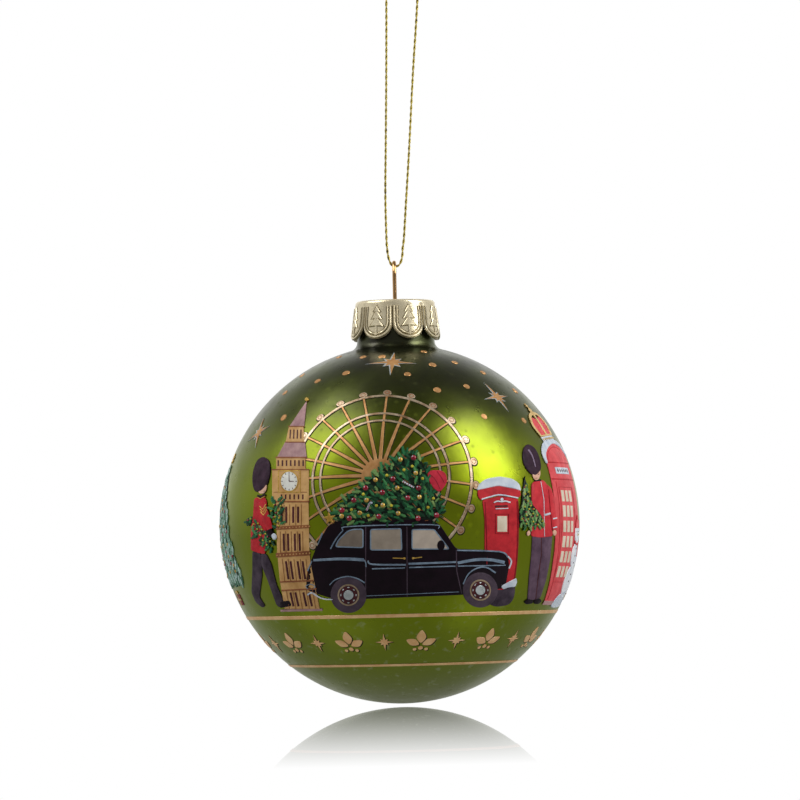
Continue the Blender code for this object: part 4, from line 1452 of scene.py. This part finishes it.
def make_kiosk(settings):
    """A red kiosk with a snowy roof, a plain sign, rows of panes, and a gilt crown above it."""
    h = settings.plate_height
    lay = around(68.5, -2.5)
    wall = [
        (-7.2, 15.6), (-7.4, 8.0), (-7.4, 0.0), (-6.8, -7.0), (-5.0, -16.2), (6.2, -16.2), (7.1, -7.0),
        (7.4, 0.0), (7.2, 15.6),
    ]
    dome_edge = flow(
        [(-7.2, 15.2), (-6.7, 17.3), (-4.2, 19.0), (0, 19.8), (4.2, 19.0), (6.7, 17.3), (7.2, 15.2)]
    )
    # The kiosk's paler red is painted reflection of the white surround, near the ball's edge.
    plate("kiosk_wall", "pale_red_and_painted_sheen", wall, 0.4, h, lay, chamfer=0.08)
    printed("kiosk_dome", "pale_red_and_painted_sheen", [dome_edge], h + 0.03, lay, chamfer=0.08)
    snow = [
        (-7.9, 15.4), (-7.9, 17.6), (-5.4, 19.9), (0, 20.9), (4.6, 20.1), (7.6, 17.9), (7.8, 16.9),
        (4.2, 19.1), (0, 19.7), (-4.0, 18.6), (-6.4, 16.9), (-7.0, 15.0),
    ]
    printed("kiosk_snow", "white", [flow(snow, closed=True)], h + 0.14, lay, chamfer=0.14)
    printed("kiosk_sign", "white", [[(-4.2, 12.6), (4.2, 12.6), (4.2, 14.1), (-4.2, 14.1)]], h + 0.06, lay)
    diamonds = [oval(-3.0 + i * 1.2, 13.35, 0.36, 0.42, 4) for i in range(6)]
    printed("kiosk_sign_row", "slit", diamonds, h + 0.09, lay, chamfer=0.0)
    shade = stroke([(-7.1, 15.2), (7.1, 15.2)], 0.3) + stroke([(-7.1, 11.4), (7.1, 11.4)], 0.3)
    shade += stroke([(-4.5, 9.6), (-4.6, -11.4), (4.0, -11.4), (3.7, 9.6)], 0.18, closed=True)
    shade += stroke([(-5.4, 10.8), (-5.5, 0.0), (-5.0, -8.0), (-3.9, -15.6)], 0.18)
    shade += stroke(flow([(-6.3, 15.5), (-5.6, 17.0), (-3.4, 18.3), (0, 18.9), (3.4, 18.3)]), 0.2)
    printed("kiosk_mouldings", "red", shade, h + 0.06, lay, chamfer=0.03)
    panes = []
    for row in range(6):
        top = 8.9 - row * 3.35
        for left, right in ((-3.8, -2.3), (-1.6, -0.1), (0.7, 2.3)):
            panes.append([(left, top), (left, top - 2.5), (right, top - 2.5), (right, top)])
    printed("kiosk_panes", "cream", panes, h + 0.04, lay)
    printed(
        "kiosk_step", "slate", [[(-5.3, -16.9), (-5.2, -15.9), (6.4, -15.9), (6.5, -16.9)]], h + 0.05, lay
    )
    drift = flow(
        [(-0.5, -16.9), (1.2, -14.9), (3.6, -14.0), (6.5, -13.4), (7.8, -15.0), (7.2, -17.2), (2.0, -17.6)],
        closed=True,
    )
    printed("kiosk_drift", "white", [drift], h + 0.1, lay, chamfer=0.14)
    crown = around(66.0, 32.2, 6)
    band = [(-3.4, -3.9), (3.4, -3.9), (3.6, -2.6), (-3.6, -2.6)]
    lining = flow(
        [(-3.2, -2.4), (-3.9, 0.4), (-2.4, 2.4), (0, 1.6), (2.4, 2.4), (3.9, 0.4), (3.2, -2.4)], closed=True
    )
    printed("crown_lining", "pale_red_and_painted_sheen", [lining], h, crown, chamfer=0.06)
    printed("crown_band", "white", [band], h + 0.06, crown, chamfer=0.08)
    arches = stroke(flow([(-3.3, -2.5), (-4.1, 0.4), (-2.6, 2.7), (0, 3.4)]), 0.8)
    arches += stroke(flow([(3.3, -2.5), (4.1, 0.4), (2.6, 2.7), (0, 3.4)]), 0.8)
    arches += stroke([(0, -2.5), (0, 3.2)], 0.9) + stroke([(-3.4, -2.4), (3.4, -2.4)], 0.4)
    arches += [oval(0, 4.1, 0.7), star(0, 5.4, [0.8] * 4, 0.3)]
    printed("crown_arches", "crown_gold", arches, h + 0.1, crown, chamfer=0.06)
    pearls = [face for i in range(7) for face in dome(-3.0 + i, -3.25, 0.3, 0.12, 8)]
    printed("crown_pearls", "crown_gold", pearls, h + 0.12, crown, chamfer=0.0)


def standing_fir(name, azimuth, foot, height, width, seed, snowy=True):
    """A full fir that stands upright on the ball, dressed with drops and, if snowy, heavy with snow."""
    draw = random.Random(seed)
    lay = around(azimuth, foot + math.degrees(height / 2 / RADIUS), plumb=True)
    low = -height / 2
    half_shape = ((1.0, 0.0), (0.97, 0.12), (0.78, 0.36), (0.5, 0.64), (0.24, 0.86), (0.0, 1.0))
    outline = [(-width / 2 * x, low + height * y) for x, y in half_shape]
    outline += [(width / 2 * x, low + height * y) for x, y in reversed(half_shape[:-1])]
    printed(f"{name}_shade", "undergrowth", [[(x * 0.84, y * 0.93) for x, y in outline]], 0.08, lay)
    twigs, tints, snow = [], [], []
    for x, y in scatter([(x * 0.93, y * 0.95) for x, y in outline], 1.3, seed + 3):
        share = (y - low) / height
        size = draw.uniform(1.9, 2.6) * (1 - 0.3 * share)
        lean = 180 - math.degrees(math.atan2(x, low + height + 3 - y)) + draw.uniform(-16, 16)
        lift = 0.03 + 0.06 * share + draw.uniform(0, 0.05)
        twigs += moved(sprig(size, size * 0.32), x, y + size * 0.5, lean, lift=lift)
        tints.append(draw.uniform(0.1, 0.95))
        if snowy and draw.random() < 0.5:
            lean += draw.uniform(-10, 10)
            snow += moved(sprig(size * 0.62, size * 0.22, 3), x, y + size * 0.5, lean, lift=lift + 0.03)
    needle = "frosted_needle" if snowy else "needle"
    printed(f"{name}_twigs", needle, twigs, 0.1, lay, chamfer=0.03, grid=COARSE, tints=tints)
    if snow:
        printed(f"{name}_snow", "frost", snow, 0.11, lay, chamfer=0.02, grid=COARSE)
    for finish, spacing, size in (("gold", 4.3, 0.4), ("crimson", 4.6, 0.42)):
        places = scatter([(x * 0.8, y * 0.86) for x, y in outline], spacing, seed + len(finish))
        drops = [face for x, y in places for face in dome(x, y, size, size * 0.3, 10)]
        printed(f"{name}_drops_{finish}", finish, drops, 0.2, lay, chamfer=0.0, grid=UNCUT)
    printed(f"{name}_star", "gold", [star(0, low + height + 0.3, [1.3] * 5, 0.55)], 0.2, lay, chamfer=0.06)


def make_gift(name, azimuth, latitude, size, paper, ribbon):
    """A wrapped box with a ribbon and a bow. size is half its width."""
    lay = around(azimuth, latitude, plumb=True)
    foot, top = -size * 0.8, size * 0.6
    box = [(-size, foot), (size, foot), (size, top), (-size, top)]
    plate(f"{name}_box", paper, box, 0.2, 0.14, lay, chamfer=0.08)
    bow = stroke([(0, foot), (0, top)], size * 0.28)
    bow += stroke([(-size, -size * 0.05), (size, -size * 0.05)], size * 0.22)
    for side in (-1, 1):
        bow.append(oval(side * size * 0.35, size * 0.85, size * 0.36, size * 0.2, 14, -25 * side))
    printed(f"{name}_ribbon", ribbon, bow, 0.2, lay, chamfer=0.04)


def make_snowman(azimuth, foot, size):
    """Three balls of snow with a hat, buttons, a nose and a scarf. size is the lowest ball's radius."""
    lay = around(azimuth, foot + 12, plumb=True)
    balls = [oval(0, -size * 1.1, size), oval(0, size * 0.35, size * 0.78), oval(0, size * 1.55, size * 0.55)]
    for i, ball in enumerate(balls):
        printed(f"snowman_ball_{i}", "snow", [ball], 0.28 + 0.03 * i, lay, chamfer=0.2)
    brim, crown = size * 1.86, size * 2.35
    hat = [rounded([(-size * 0.5, brim), (size * 0.5, brim), (size * 0.3, crown), (-size * 0.3, crown)], 0.5)]
    printed("snowman_hat", "pale_red_and_painted_sheen", hat + [oval(0, size * 2.45, size * 0.14)], 0.37, lay)
    dots = [oval(side * size * 0.2, size * 1.68, 0.16) for side in (-1, 1)]
    dots += [oval(0, size * y, 0.18) for y in (0.75, 0.35, -0.05, -0.7, -1.1)]
    printed("snowman_buttons", "slit", dots, 0.37, lay, chamfer=0.0)
    nose = [(0, size * 1.6), (0, size * 1.42), (size * 0.5, size * 1.5)]
    printed("snowman_nose", "gold", [nose], 0.38, lay, chamfer=0.03)
    scarf = stroke(flow([(-size * 0.5, size * 1.12), (0, size * 0.98), (size * 0.5, size * 1.12)]), 0.55)
    scarf += stroke([(size * 0.3, size * 1.05), (size * 0.5, size * 0.3)], 0.5)
    printed("snowman_scarf", "pale_red_and_painted_sheen", scarf, 0.38, lay)


def make_far_side(settings):
    """What stands round the sides and the back, in the manner of the front: firs, gifts and a snowman."""
    standing_fir("west_fir", -80.0, -20.5, 29.5, 22.5, 61)
    standing_fir("small_west_fir", -110.0, -22.0, 19.0, 14.0, 62)
    standing_fir("north_west_fir", -138.0, -22.0, 27.0, 18.0, 63, False)
    standing_fir("north_fir", 178.0, -22.0, 34.0, 23.0, 64)
    standing_fir("north_east_fir", 142.0, -22.0, 22.0, 15.0, 65)
    standing_fir("east_fir", 112.0, -22.0, 28.0, 19.0, 66, False)
    make_snowman(77.0, -25.5, 4.0)
    make_gift("west_gift", -77.0, -23.5, 1.9, "dark_red", "gold")
    make_gift("north_gift", 160.0, -21.0, 2.6, "red", "white")
    make_gift("north_west_gift", -156.0, -21.5, 2.2, "cream", "dark_red")
    make_gift("east_gift", 94.0, -24.0, 2.0, "gold", "dark_red")


STARS = ((-5.0, 61.3, 5.4, 0.0), (-63.1, 29.7, 4.0, 26.0), (47.1, 43.4, 4.1, 8.0))
DOTS = (
    (-51, 35), (-66, 46), (-46, 51), (-31, 55), (-71, 55), (-30, 66), (-14, 66), (-60, 67), (4, 54),
    (21, 60), (40, 62), (24, 71), (17, 46), (33, 48), (55, 56), (69, 47), (34, 35), (55, 34),
)  # fmt: skip


def make_sky(settings):
    """Eight-pointed foil stars with silver edges, and foil dots, over the whole upper half."""
    for turn, shift in ((0, 0), (180, 6)):
        for i, (azimuth, latitude, size, lean) in enumerate(STARS):
            lay = around(azimuth + turn, latitude, lean)
            tips = [size * share for share in (1.08, 0.48, 1.04, 0.44, 1.0, 0.48, 0.94, 0.44)]
            edge = star(-0.08, 0, [tip + 0.34 for tip in tips], size * 0.3)
            printed(f"star_{i}_{turn}_edge", "silver", [edge], 0.08, lay, chamfer=0.03)
            inner = star(0.08, 0, [tip * 0.95 for tip in tips], size * 0.23)
            printed(f"star_{i}_{turn}", "copper", [inner], 0.13, lay, chamfer=0.05)
        for i, (azimuth, latitude) in enumerate(DOTS):
            lay = around(azimuth + turn + shift, latitude)
            size = 0.76 if i % 3 else 0.88
            printed(f"dot_{i}_{turn}", "copper", [oval(0, 0, size, sides=18)], 0.1, lay, chamfer=0.1)


def make_bands(settings):
    """Two foil lines round the ball, and between them a row of leafy sprigs and small stars."""
    # The bands and sprigs take the lighter copper, which is painted light on the dim lower part of the ball.
    for name, latitude, width in (("upper_band", -30.4, 0.85), ("lower_band", -50.8, 0.75)):
        span = math.degrees(width / RADIUS)
        for part in range(4):
            left = -180 + part * 90
            quads = stroke([(left + i * 3, latitude) for i in range(31)], span)
            printed(f"{name}_{part}", "foil", quads, settings.line_height, on_band, grid=COARSE, chamfer=0.06)
    count = 24
    for i in range(count):
        azimuth = (i + 0.5) * 360 / count
        lay = around(azimuth if azimuth <= 180 else azimuth - 360, -40.4, plumb=True)
        if i % 2:
            shape = [star(0, 0, [2.5, 1.2, 2.0, 1.2] * 2, 0.75)]
        else:
            leaf = flow([(0, 0.2), (1.0, 1.5), (0.85, 2.6), (0, 3.7), (-0.85, 2.6), (-1.0, 1.5)], closed=True)
            shape = moved([leaf], 0, -0.6)
            shape += moved([leaf], 0.2, -1.0, -64, 0.9)
            shape += moved([leaf], -0.2, -1.0, 64, 0.9)
            shape += [oval(0, -1.9, 0.55), oval(-1.25, -2.3, 0.42), oval(1.25, -2.3, 0.42)]
        # Painted shadow: a dark copy of each sprig or star under it, shifted down and to the right.
        printed(f"sprig_cast_{i:02d}", "painted_shadow", moved(shape, 0.2, -0.16), 0.04, lay, chamfer=0.0)
        printed(f"sprig_{i:02d}", "foil", shape, settings.line_height, lay, chamfer=0.08)


# ---- the stage ----


FLOOR_GAP = 0.4  # millimetres
LAMP_DISTANCE = 0.6
AIM_HEIGHT = 27.6  # millimetres


def make_surround(settings):
    """White for the camera. What lights the bauble is dimmer, and brightest low down and at the left."""
    world = bpy.data.worlds.new("surround")
    bpy.context.scene.world = world
    world.use_nodes = True
    tree = world.node_tree
    back = tree.nodes["Background"]
    place = node(tree, "ShaderNodeTexCoord")
    way = node(tree, "ShaderNodeSeparateXYZ", [("Vector", place.outputs["Generated"])]).outputs
    greys = ((0.0, 0.34), (0.25, 0.42), (0.45, 0.55), (0.68, 0.17), (1.0, 0.1))
    light = colour_ramp(tree, way["Z"], [(position, (grey, grey, grey)) for position, grey in greys])
    light = mix(tree, 1.0, light, spread(tree, way["Y"], -0.7, 0.4, 0.4), "MULTIPLY")
    light = mix(tree, 1.0, light, spread(tree, way["X"], -0.9, -0.1, 1.45), "MULTIPLY")
    light = mix(tree, spread(tree, way["Y"], 0.72, 0.92), light, (1.0, 1.0, 1.0))
    ray = node(tree, "ShaderNodeLightPath")
    light = mix(tree, ray.outputs["Is Camera Ray"], light, (1.0, 1.0, 1.0))
    tree.links.new(light, back.inputs["Color"])
    back.inputs["Strength"].default_value = settings.surround


def make_floor(settings):
    """A pale floor just under the ball, glossy near it and plain further off."""
    deselect_all()
    place = CENTRE - Vector((0, 0, RADIUS + FLOOR_GAP)) * MM
    bpy.ops.mesh.primitive_circle_add(vertices=96, radius=4.0, fill_type="NGON", location=place)
    floor = bpy.context.object
    floor.name = "floor"
    made, tree, shader = new_material("pale_floor")
    tree.nodes.remove(shader)
    place = node(tree, "ShaderNodeTexCoord")
    away = node(tree, "ShaderNodeVectorMath", [(0, place.outputs["Object"])], operation="LENGTH")
    share = reckon(tree, "DIVIDE", away.outputs["Value"], settings.mirror_reach)
    kept = reckon(tree, "SUBTRACT", 1.0, reckon(tree, "POWER", share, 1.6), clamp=True)
    grazing = node(tree, "ShaderNodeFresnel", [("IOR", 1.5)])
    gloss = reckon(tree, "MULTIPLY", kept, grazing.outputs[0])
    gloss = reckon(tree, "MULTIPLY", gloss, 1.1, clamp=True)
    ray = node(tree, "ShaderNodeLightPath")
    seen = spread(tree, ray.outputs["Is Camera Ray"], 0.0, 1.0, 0.34)
    glow = node(tree, "ShaderNodeEmission", [("Color", (1, 1, 1, 1)), ("Strength", seen)])
    mirror = node(tree, "ShaderNodeBsdfGlossy", [("Color", (1, 1, 1, 1)), ("Roughness", 0.0)])
    blend = node(tree, "ShaderNodeMixShader", [(0, gloss), (1, glow.outputs[0]), (2, mirror.outputs[0])])
    tree.links.new(blend.outputs[0], tree.nodes["Material Output"].inputs["Surface"])
    floor.data.materials.append(made)


def make_lamps(settings):
    """Two softboxes, high at the front left and the front right."""
    for name, azimuth, elevation, width, height, power in (
        ("left_softbox", -74, 51, 0.42, 0.42, settings.softbox * 0.8),
        ("right_softbox", 67, 39, 0.3, 0.42, settings.softbox),
    ):
        a, e = math.radians(azimuth), math.radians(elevation)
        out = Vector((math.sin(a) * math.cos(e), -math.cos(a) * math.cos(e), math.sin(e)))
        light = bpy.data.lights.new(name, "AREA")
        light.shape = "RECTANGLE"
        light.size, light.size_y = width, height
        light.energy = power
        lamp = bpy.data.objects.new(name, light)
        bpy.context.scene.collection.objects.link(lamp)
        lamp.location = CENTRE + out * LAMP_DISTANCE
        lamp.rotation_euler = (-out).to_track_quat("-Z", "Y").to_euler()
        lamp.visible_camera = False


def make_camera():
    """A long lens in front of the bauble, rolled with the tilt of the print."""
    scene = bpy.context.scene
    camera = bpy.data.cameras.new("camera")
    camera.lens, camera.sensor_width = 218.0, 36.0
    camera.clip_start, camera.clip_end = 0.01, 20.0
    eye = bpy.data.objects.new("camera", camera)
    scene.collection.objects.link(eye)
    eye.location = CENTRE + VIEWER * MM
    aim = CENTRE + Vector((math.sin(PRINT_TILT), 0, math.cos(PRINT_TILT))) * AIM_HEIGHT * MM
    level = (aim - eye.location).to_track_quat("-Z", "Y")
    eye.rotation_euler = (level @ Quaternion((0, 0, 1), -PRINT_TILT)).to_euler()
    scene.camera = eye


def make_stage(settings):
    """The surround, the floor, the lamps and the camera."""
    bpy.context.scene.view_settings.view_transform = "Standard"
    make_surround(settings)
    make_floor(settings)
    make_lamps(settings)
    make_camera()


# ---- settings, operators, panel ----


def colour(name, description, default):
    """A colour that the user can change."""
    return bpy.props.FloatVectorProperty(
        name=name, description=description, subtype="COLOR", size=3, min=0, max=1, default=default
    )


def measure(name, description, default, low, high):
    """A number that the user can change."""
    return bpy.props.FloatProperty(name=name, description=description, default=default, min=low, max=high)


class BaubleBall(bpy.types.PropertyGroup):
    top: colour("Top", "Lacquer round the neck", rgb(66, 65, 56))
    upper: colour("Upper", "Lacquer below the neck", rgb(76, 82, 34))
    middle: colour("Middle", "Lacquer across the middle", rgb(136, 150, 16))
    lower: colour("Lower", "Lacquer below the middle", rgb(124, 140, 18))
    foot: colour("Foot", "Lacquer at the bottom", rgb(114, 124, 50))


class BaublePrint(bpy.types.PropertyGroup):
    line_height: measure("Line height", "How far foil lines stand proud, in millimetres", 0.1, 0.03, 0.6)
    plate_height: measure("Plate height", "How far enamel stands proud, in millimetres", 0.18, 0.05, 0.6)


class BaubleCap(bpy.types.PropertyGroup):
    colour: colour("Colour", "Pressed metal", rgb(254, 241, 206))
    deep: colour("Deep colour", "Pressed metal where it is dull", rgb(240, 225, 188))
    # This colour is painted shade, laid beside the cap's raised lines.
    painted_line_shade: colour("Groove", "Pressed metal beside its raised lines", rgb(128, 114, 78))
    emboss: measure("Emboss", "How far the petals' lines stand proud, in millimetres", 0.2, 0.02, 0.4)


class BaubleWire(bpy.types.PropertyGroup):
    colour: colour("Colour", "Drawn wire", rgb(246, 200, 142))
    deep: colour("Deep colour", "Drawn wire where it is dull", rgb(220, 166, 104))


class BaubleCord(bpy.types.PropertyGroup):
    colour: colour("Colour", "Metallic thread", rgb(252, 232, 104))
    # This colour is painted shade between the fibres.
    shade: colour("Shade", "Metallic thread between its fibres", rgb(166, 136, 36))
    # This colour is used for dark flecks and for the painted shade where the plies meet.
    fleck_and_ply_shade: colour("Fleck", "Dark flecks and the gaps between yarns", rgb(52, 38, 12))
    plies: bpy.props.IntProperty(name="Plies", description="Yarns twisted together", default=2, min=2, max=4)
    pitch: measure("Pitch", "Length of one full twist, in millimetres", 3.0, 1.0, 8.0)


class BaubleStage(bpy.types.PropertyGroup):
    softbox: bpy.props.FloatProperty(
        name="Softbox", description="Power of the right softbox", default=2.4, unit="POWER"
    )
    surround: bpy.props.FloatProperty(
        name="Surround", description="Brightness of the white surround", default=1.0
    )
    mirror_reach: bpy.props.FloatProperty(
        name="Mirror reach", description="Where the reflection has faded away", default=0.365, unit="LENGTH"
    )


GROUP_CLASSES = {
    "bauble_ball": BaubleBall,
    "bauble_print": BaublePrint,
    "bauble_cap": BaubleCap,
    "bauble_wire": BaubleWire,
    "bauble_cord": BaubleCord,
    "bauble_stage": BaubleStage,
}


class BAUBLE_OT_stage(bpy.types.Operator):
    """Make the floor, the lights and the camera"""

    bl_idname = "bauble.stage"
    bl_label = "Stage"

    def execute(self, context):
        make_stage(context.scene.bauble_stage)
        return {"FINISHED"}


class BAUBLE_OT_cord(bpy.types.Operator):
    """Twist the cord and its knot"""

    bl_idname = "bauble.cord"
    bl_label = "Cord"

    def execute(self, context):
        make_cord(context.scene.bauble_cord)
        return {"FINISHED"}


class BAUBLE_OT_ball(bpy.types.Operator):
    """Turn and lacquer the ball"""

    bl_idname = "bauble.ball"
    bl_label = "Ball"

    def execute(self, context):
        make_ball(context.scene.bauble_ball)
        return {"FINISHED"}


class BAUBLE_OT_cap(bpy.types.Operator):
    """Press the cap and its petals"""

    bl_idname = "bauble.cap"
    bl_label = "Cap"

    def execute(self, context):
        make_cap(context.scene.bauble_cap)
        return {"FINISHED"}


class BAUBLE_OT_wire(bpy.types.Operator):
    """Bend the spring wire"""

    bl_idname = "bauble.wire"
    bl_label = "Wire"

    def execute(self, context):
        make_wire(context.scene.bauble_wire)
        return {"FINISHED"}


class BAUBLE_OT_wheel(bpy.types.Operator):
    """Print the big wheel"""

    bl_idname = "bauble.wheel"
    bl_label = "Observation wheel"

    def execute(self, context):
        make_wheel(context.scene.bauble_print)
        return {"FINISHED"}


class BAUBLE_OT_tower(bpy.types.Operator):
    """Print the clock tower"""

    bl_idname = "bauble.tower"
    bl_label = "Clock tower"

    def execute(self, context):
        make_tower(context.scene.bauble_print)
        return {"FINISHED"}


class BAUBLE_OT_cab(bpy.types.Operator):
    """Print the cab"""

    bl_idname = "bauble.cab"
    bl_label = "Cab"

    def execute(self, context):
        make_cab(context.scene.bauble_print)
        return {"FINISHED"}


class BAUBLE_OT_roof_tree(bpy.types.Operator):
    """Print the fir on the cab's roof"""

    bl_idname = "bauble.roof_tree"
    bl_label = "Roof tree"

    def execute(self, context):
        make_roof_tree(context.scene.bauble_print)
        return {"FINISHED"}


class BAUBLE_OT_marching_guard(bpy.types.Operator):
    """Print the guard who carries a fir"""

    bl_idname = "bauble.marching_guard"
    bl_label = "Marching guard"

    def execute(self, context):
        make_marching_guard(context.scene.bauble_print)
        return {"FINISHED"}


class BAUBLE_OT_post_box(bpy.types.Operator):
    """Print the pillar box"""

    bl_idname = "bauble.post_box"
    bl_label = "Post box"

    def execute(self, context):
        make_post_box(context.scene.bauble_print)
        return {"FINISHED"}


class BAUBLE_OT_standing_guard(bpy.types.Operator):
    """Print the guard beside the kiosk"""

    bl_idname = "bauble.standing_guard"
    bl_label = "Standing guard"

    def execute(self, context):
        make_standing_guard(context.scene.bauble_print)
        return {"FINISHED"}


class BAUBLE_OT_kiosk(bpy.types.Operator):
    """Print the kiosk and the crown"""

    bl_idname = "bauble.kiosk"
    bl_label = "Kiosk"

    def execute(self, context):
        make_kiosk(context.scene.bauble_print)
        return {"FINISHED"}


class BAUBLE_OT_far_side(bpy.types.Operator):
    """Print what stands round the back"""

    bl_idname = "bauble.far_side"
    bl_label = "Far side"

    def execute(self, context):
        make_far_side(context.scene.bauble_print)
        return {"FINISHED"}


class BAUBLE_OT_sky(bpy.types.Operator):
    """Print the stars and dots"""

    bl_idname = "bauble.sky"
    bl_label = "Sky"

    def execute(self, context):
        make_sky(context.scene.bauble_print)
        return {"FINISHED"}


class BAUBLE_OT_bands(bpy.types.Operator):
    """Print the two bands and the row between them"""

    bl_idname = "bauble.bands"
    bl_label = "Bands"

    def execute(self, context):
        make_bands(context.scene.bauble_print)
        return {"FINISHED"}


OPERATORS = (
    # in the order of making
    BAUBLE_OT_stage, BAUBLE_OT_cord, BAUBLE_OT_ball, BAUBLE_OT_cap, BAUBLE_OT_wire, BAUBLE_OT_wheel,
    BAUBLE_OT_tower, BAUBLE_OT_cab, BAUBLE_OT_roof_tree, BAUBLE_OT_marching_guard,
    BAUBLE_OT_post_box, BAUBLE_OT_standing_guard, BAUBLE_OT_kiosk, BAUBLE_OT_far_side,
    BAUBLE_OT_sky, BAUBLE_OT_bands,
)  # fmt: skip


class BAUBLE_PT_panel(bpy.types.Panel):
    """Lists the bauble's settings and the steps of its making"""

    bl_label = "Bauble"
    bl_space_type = "VIEW_3D"
    bl_region_type = "UI"
    bl_category = "Bauble"

    def draw(self, context):
        for kind in OPERATORS:
            self.layout.operator(kind.bl_idname)
        for group, kind in GROUP_CLASSES.items():
            box = self.layout.box()
            for name in kind.__annotations__:
                box.prop(getattr(context.scene, group), name)


def register():
    for kind in (*GROUP_CLASSES.values(), *OPERATORS, BAUBLE_PT_panel):
        bpy.utils.register_class(kind)
    for group, kind in GROUP_CLASSES.items():
        setattr(bpy.types.Scene, group, bpy.props.PointerProperty(type=kind))


def unregister():
    for group in GROUP_CLASSES:
        delattr(bpy.types.Scene, group)
    for kind in (BAUBLE_PT_panel, *OPERATORS, *GROUP_CLASSES.values()):
        bpy.utils.unregister_class(kind)


def main():
    register()
    for kind in OPERATORS:
        getattr(bpy.ops.bauble, kind.bl_idname.removeprefix("bauble."))()


if __name__ == "__main__":
    main()
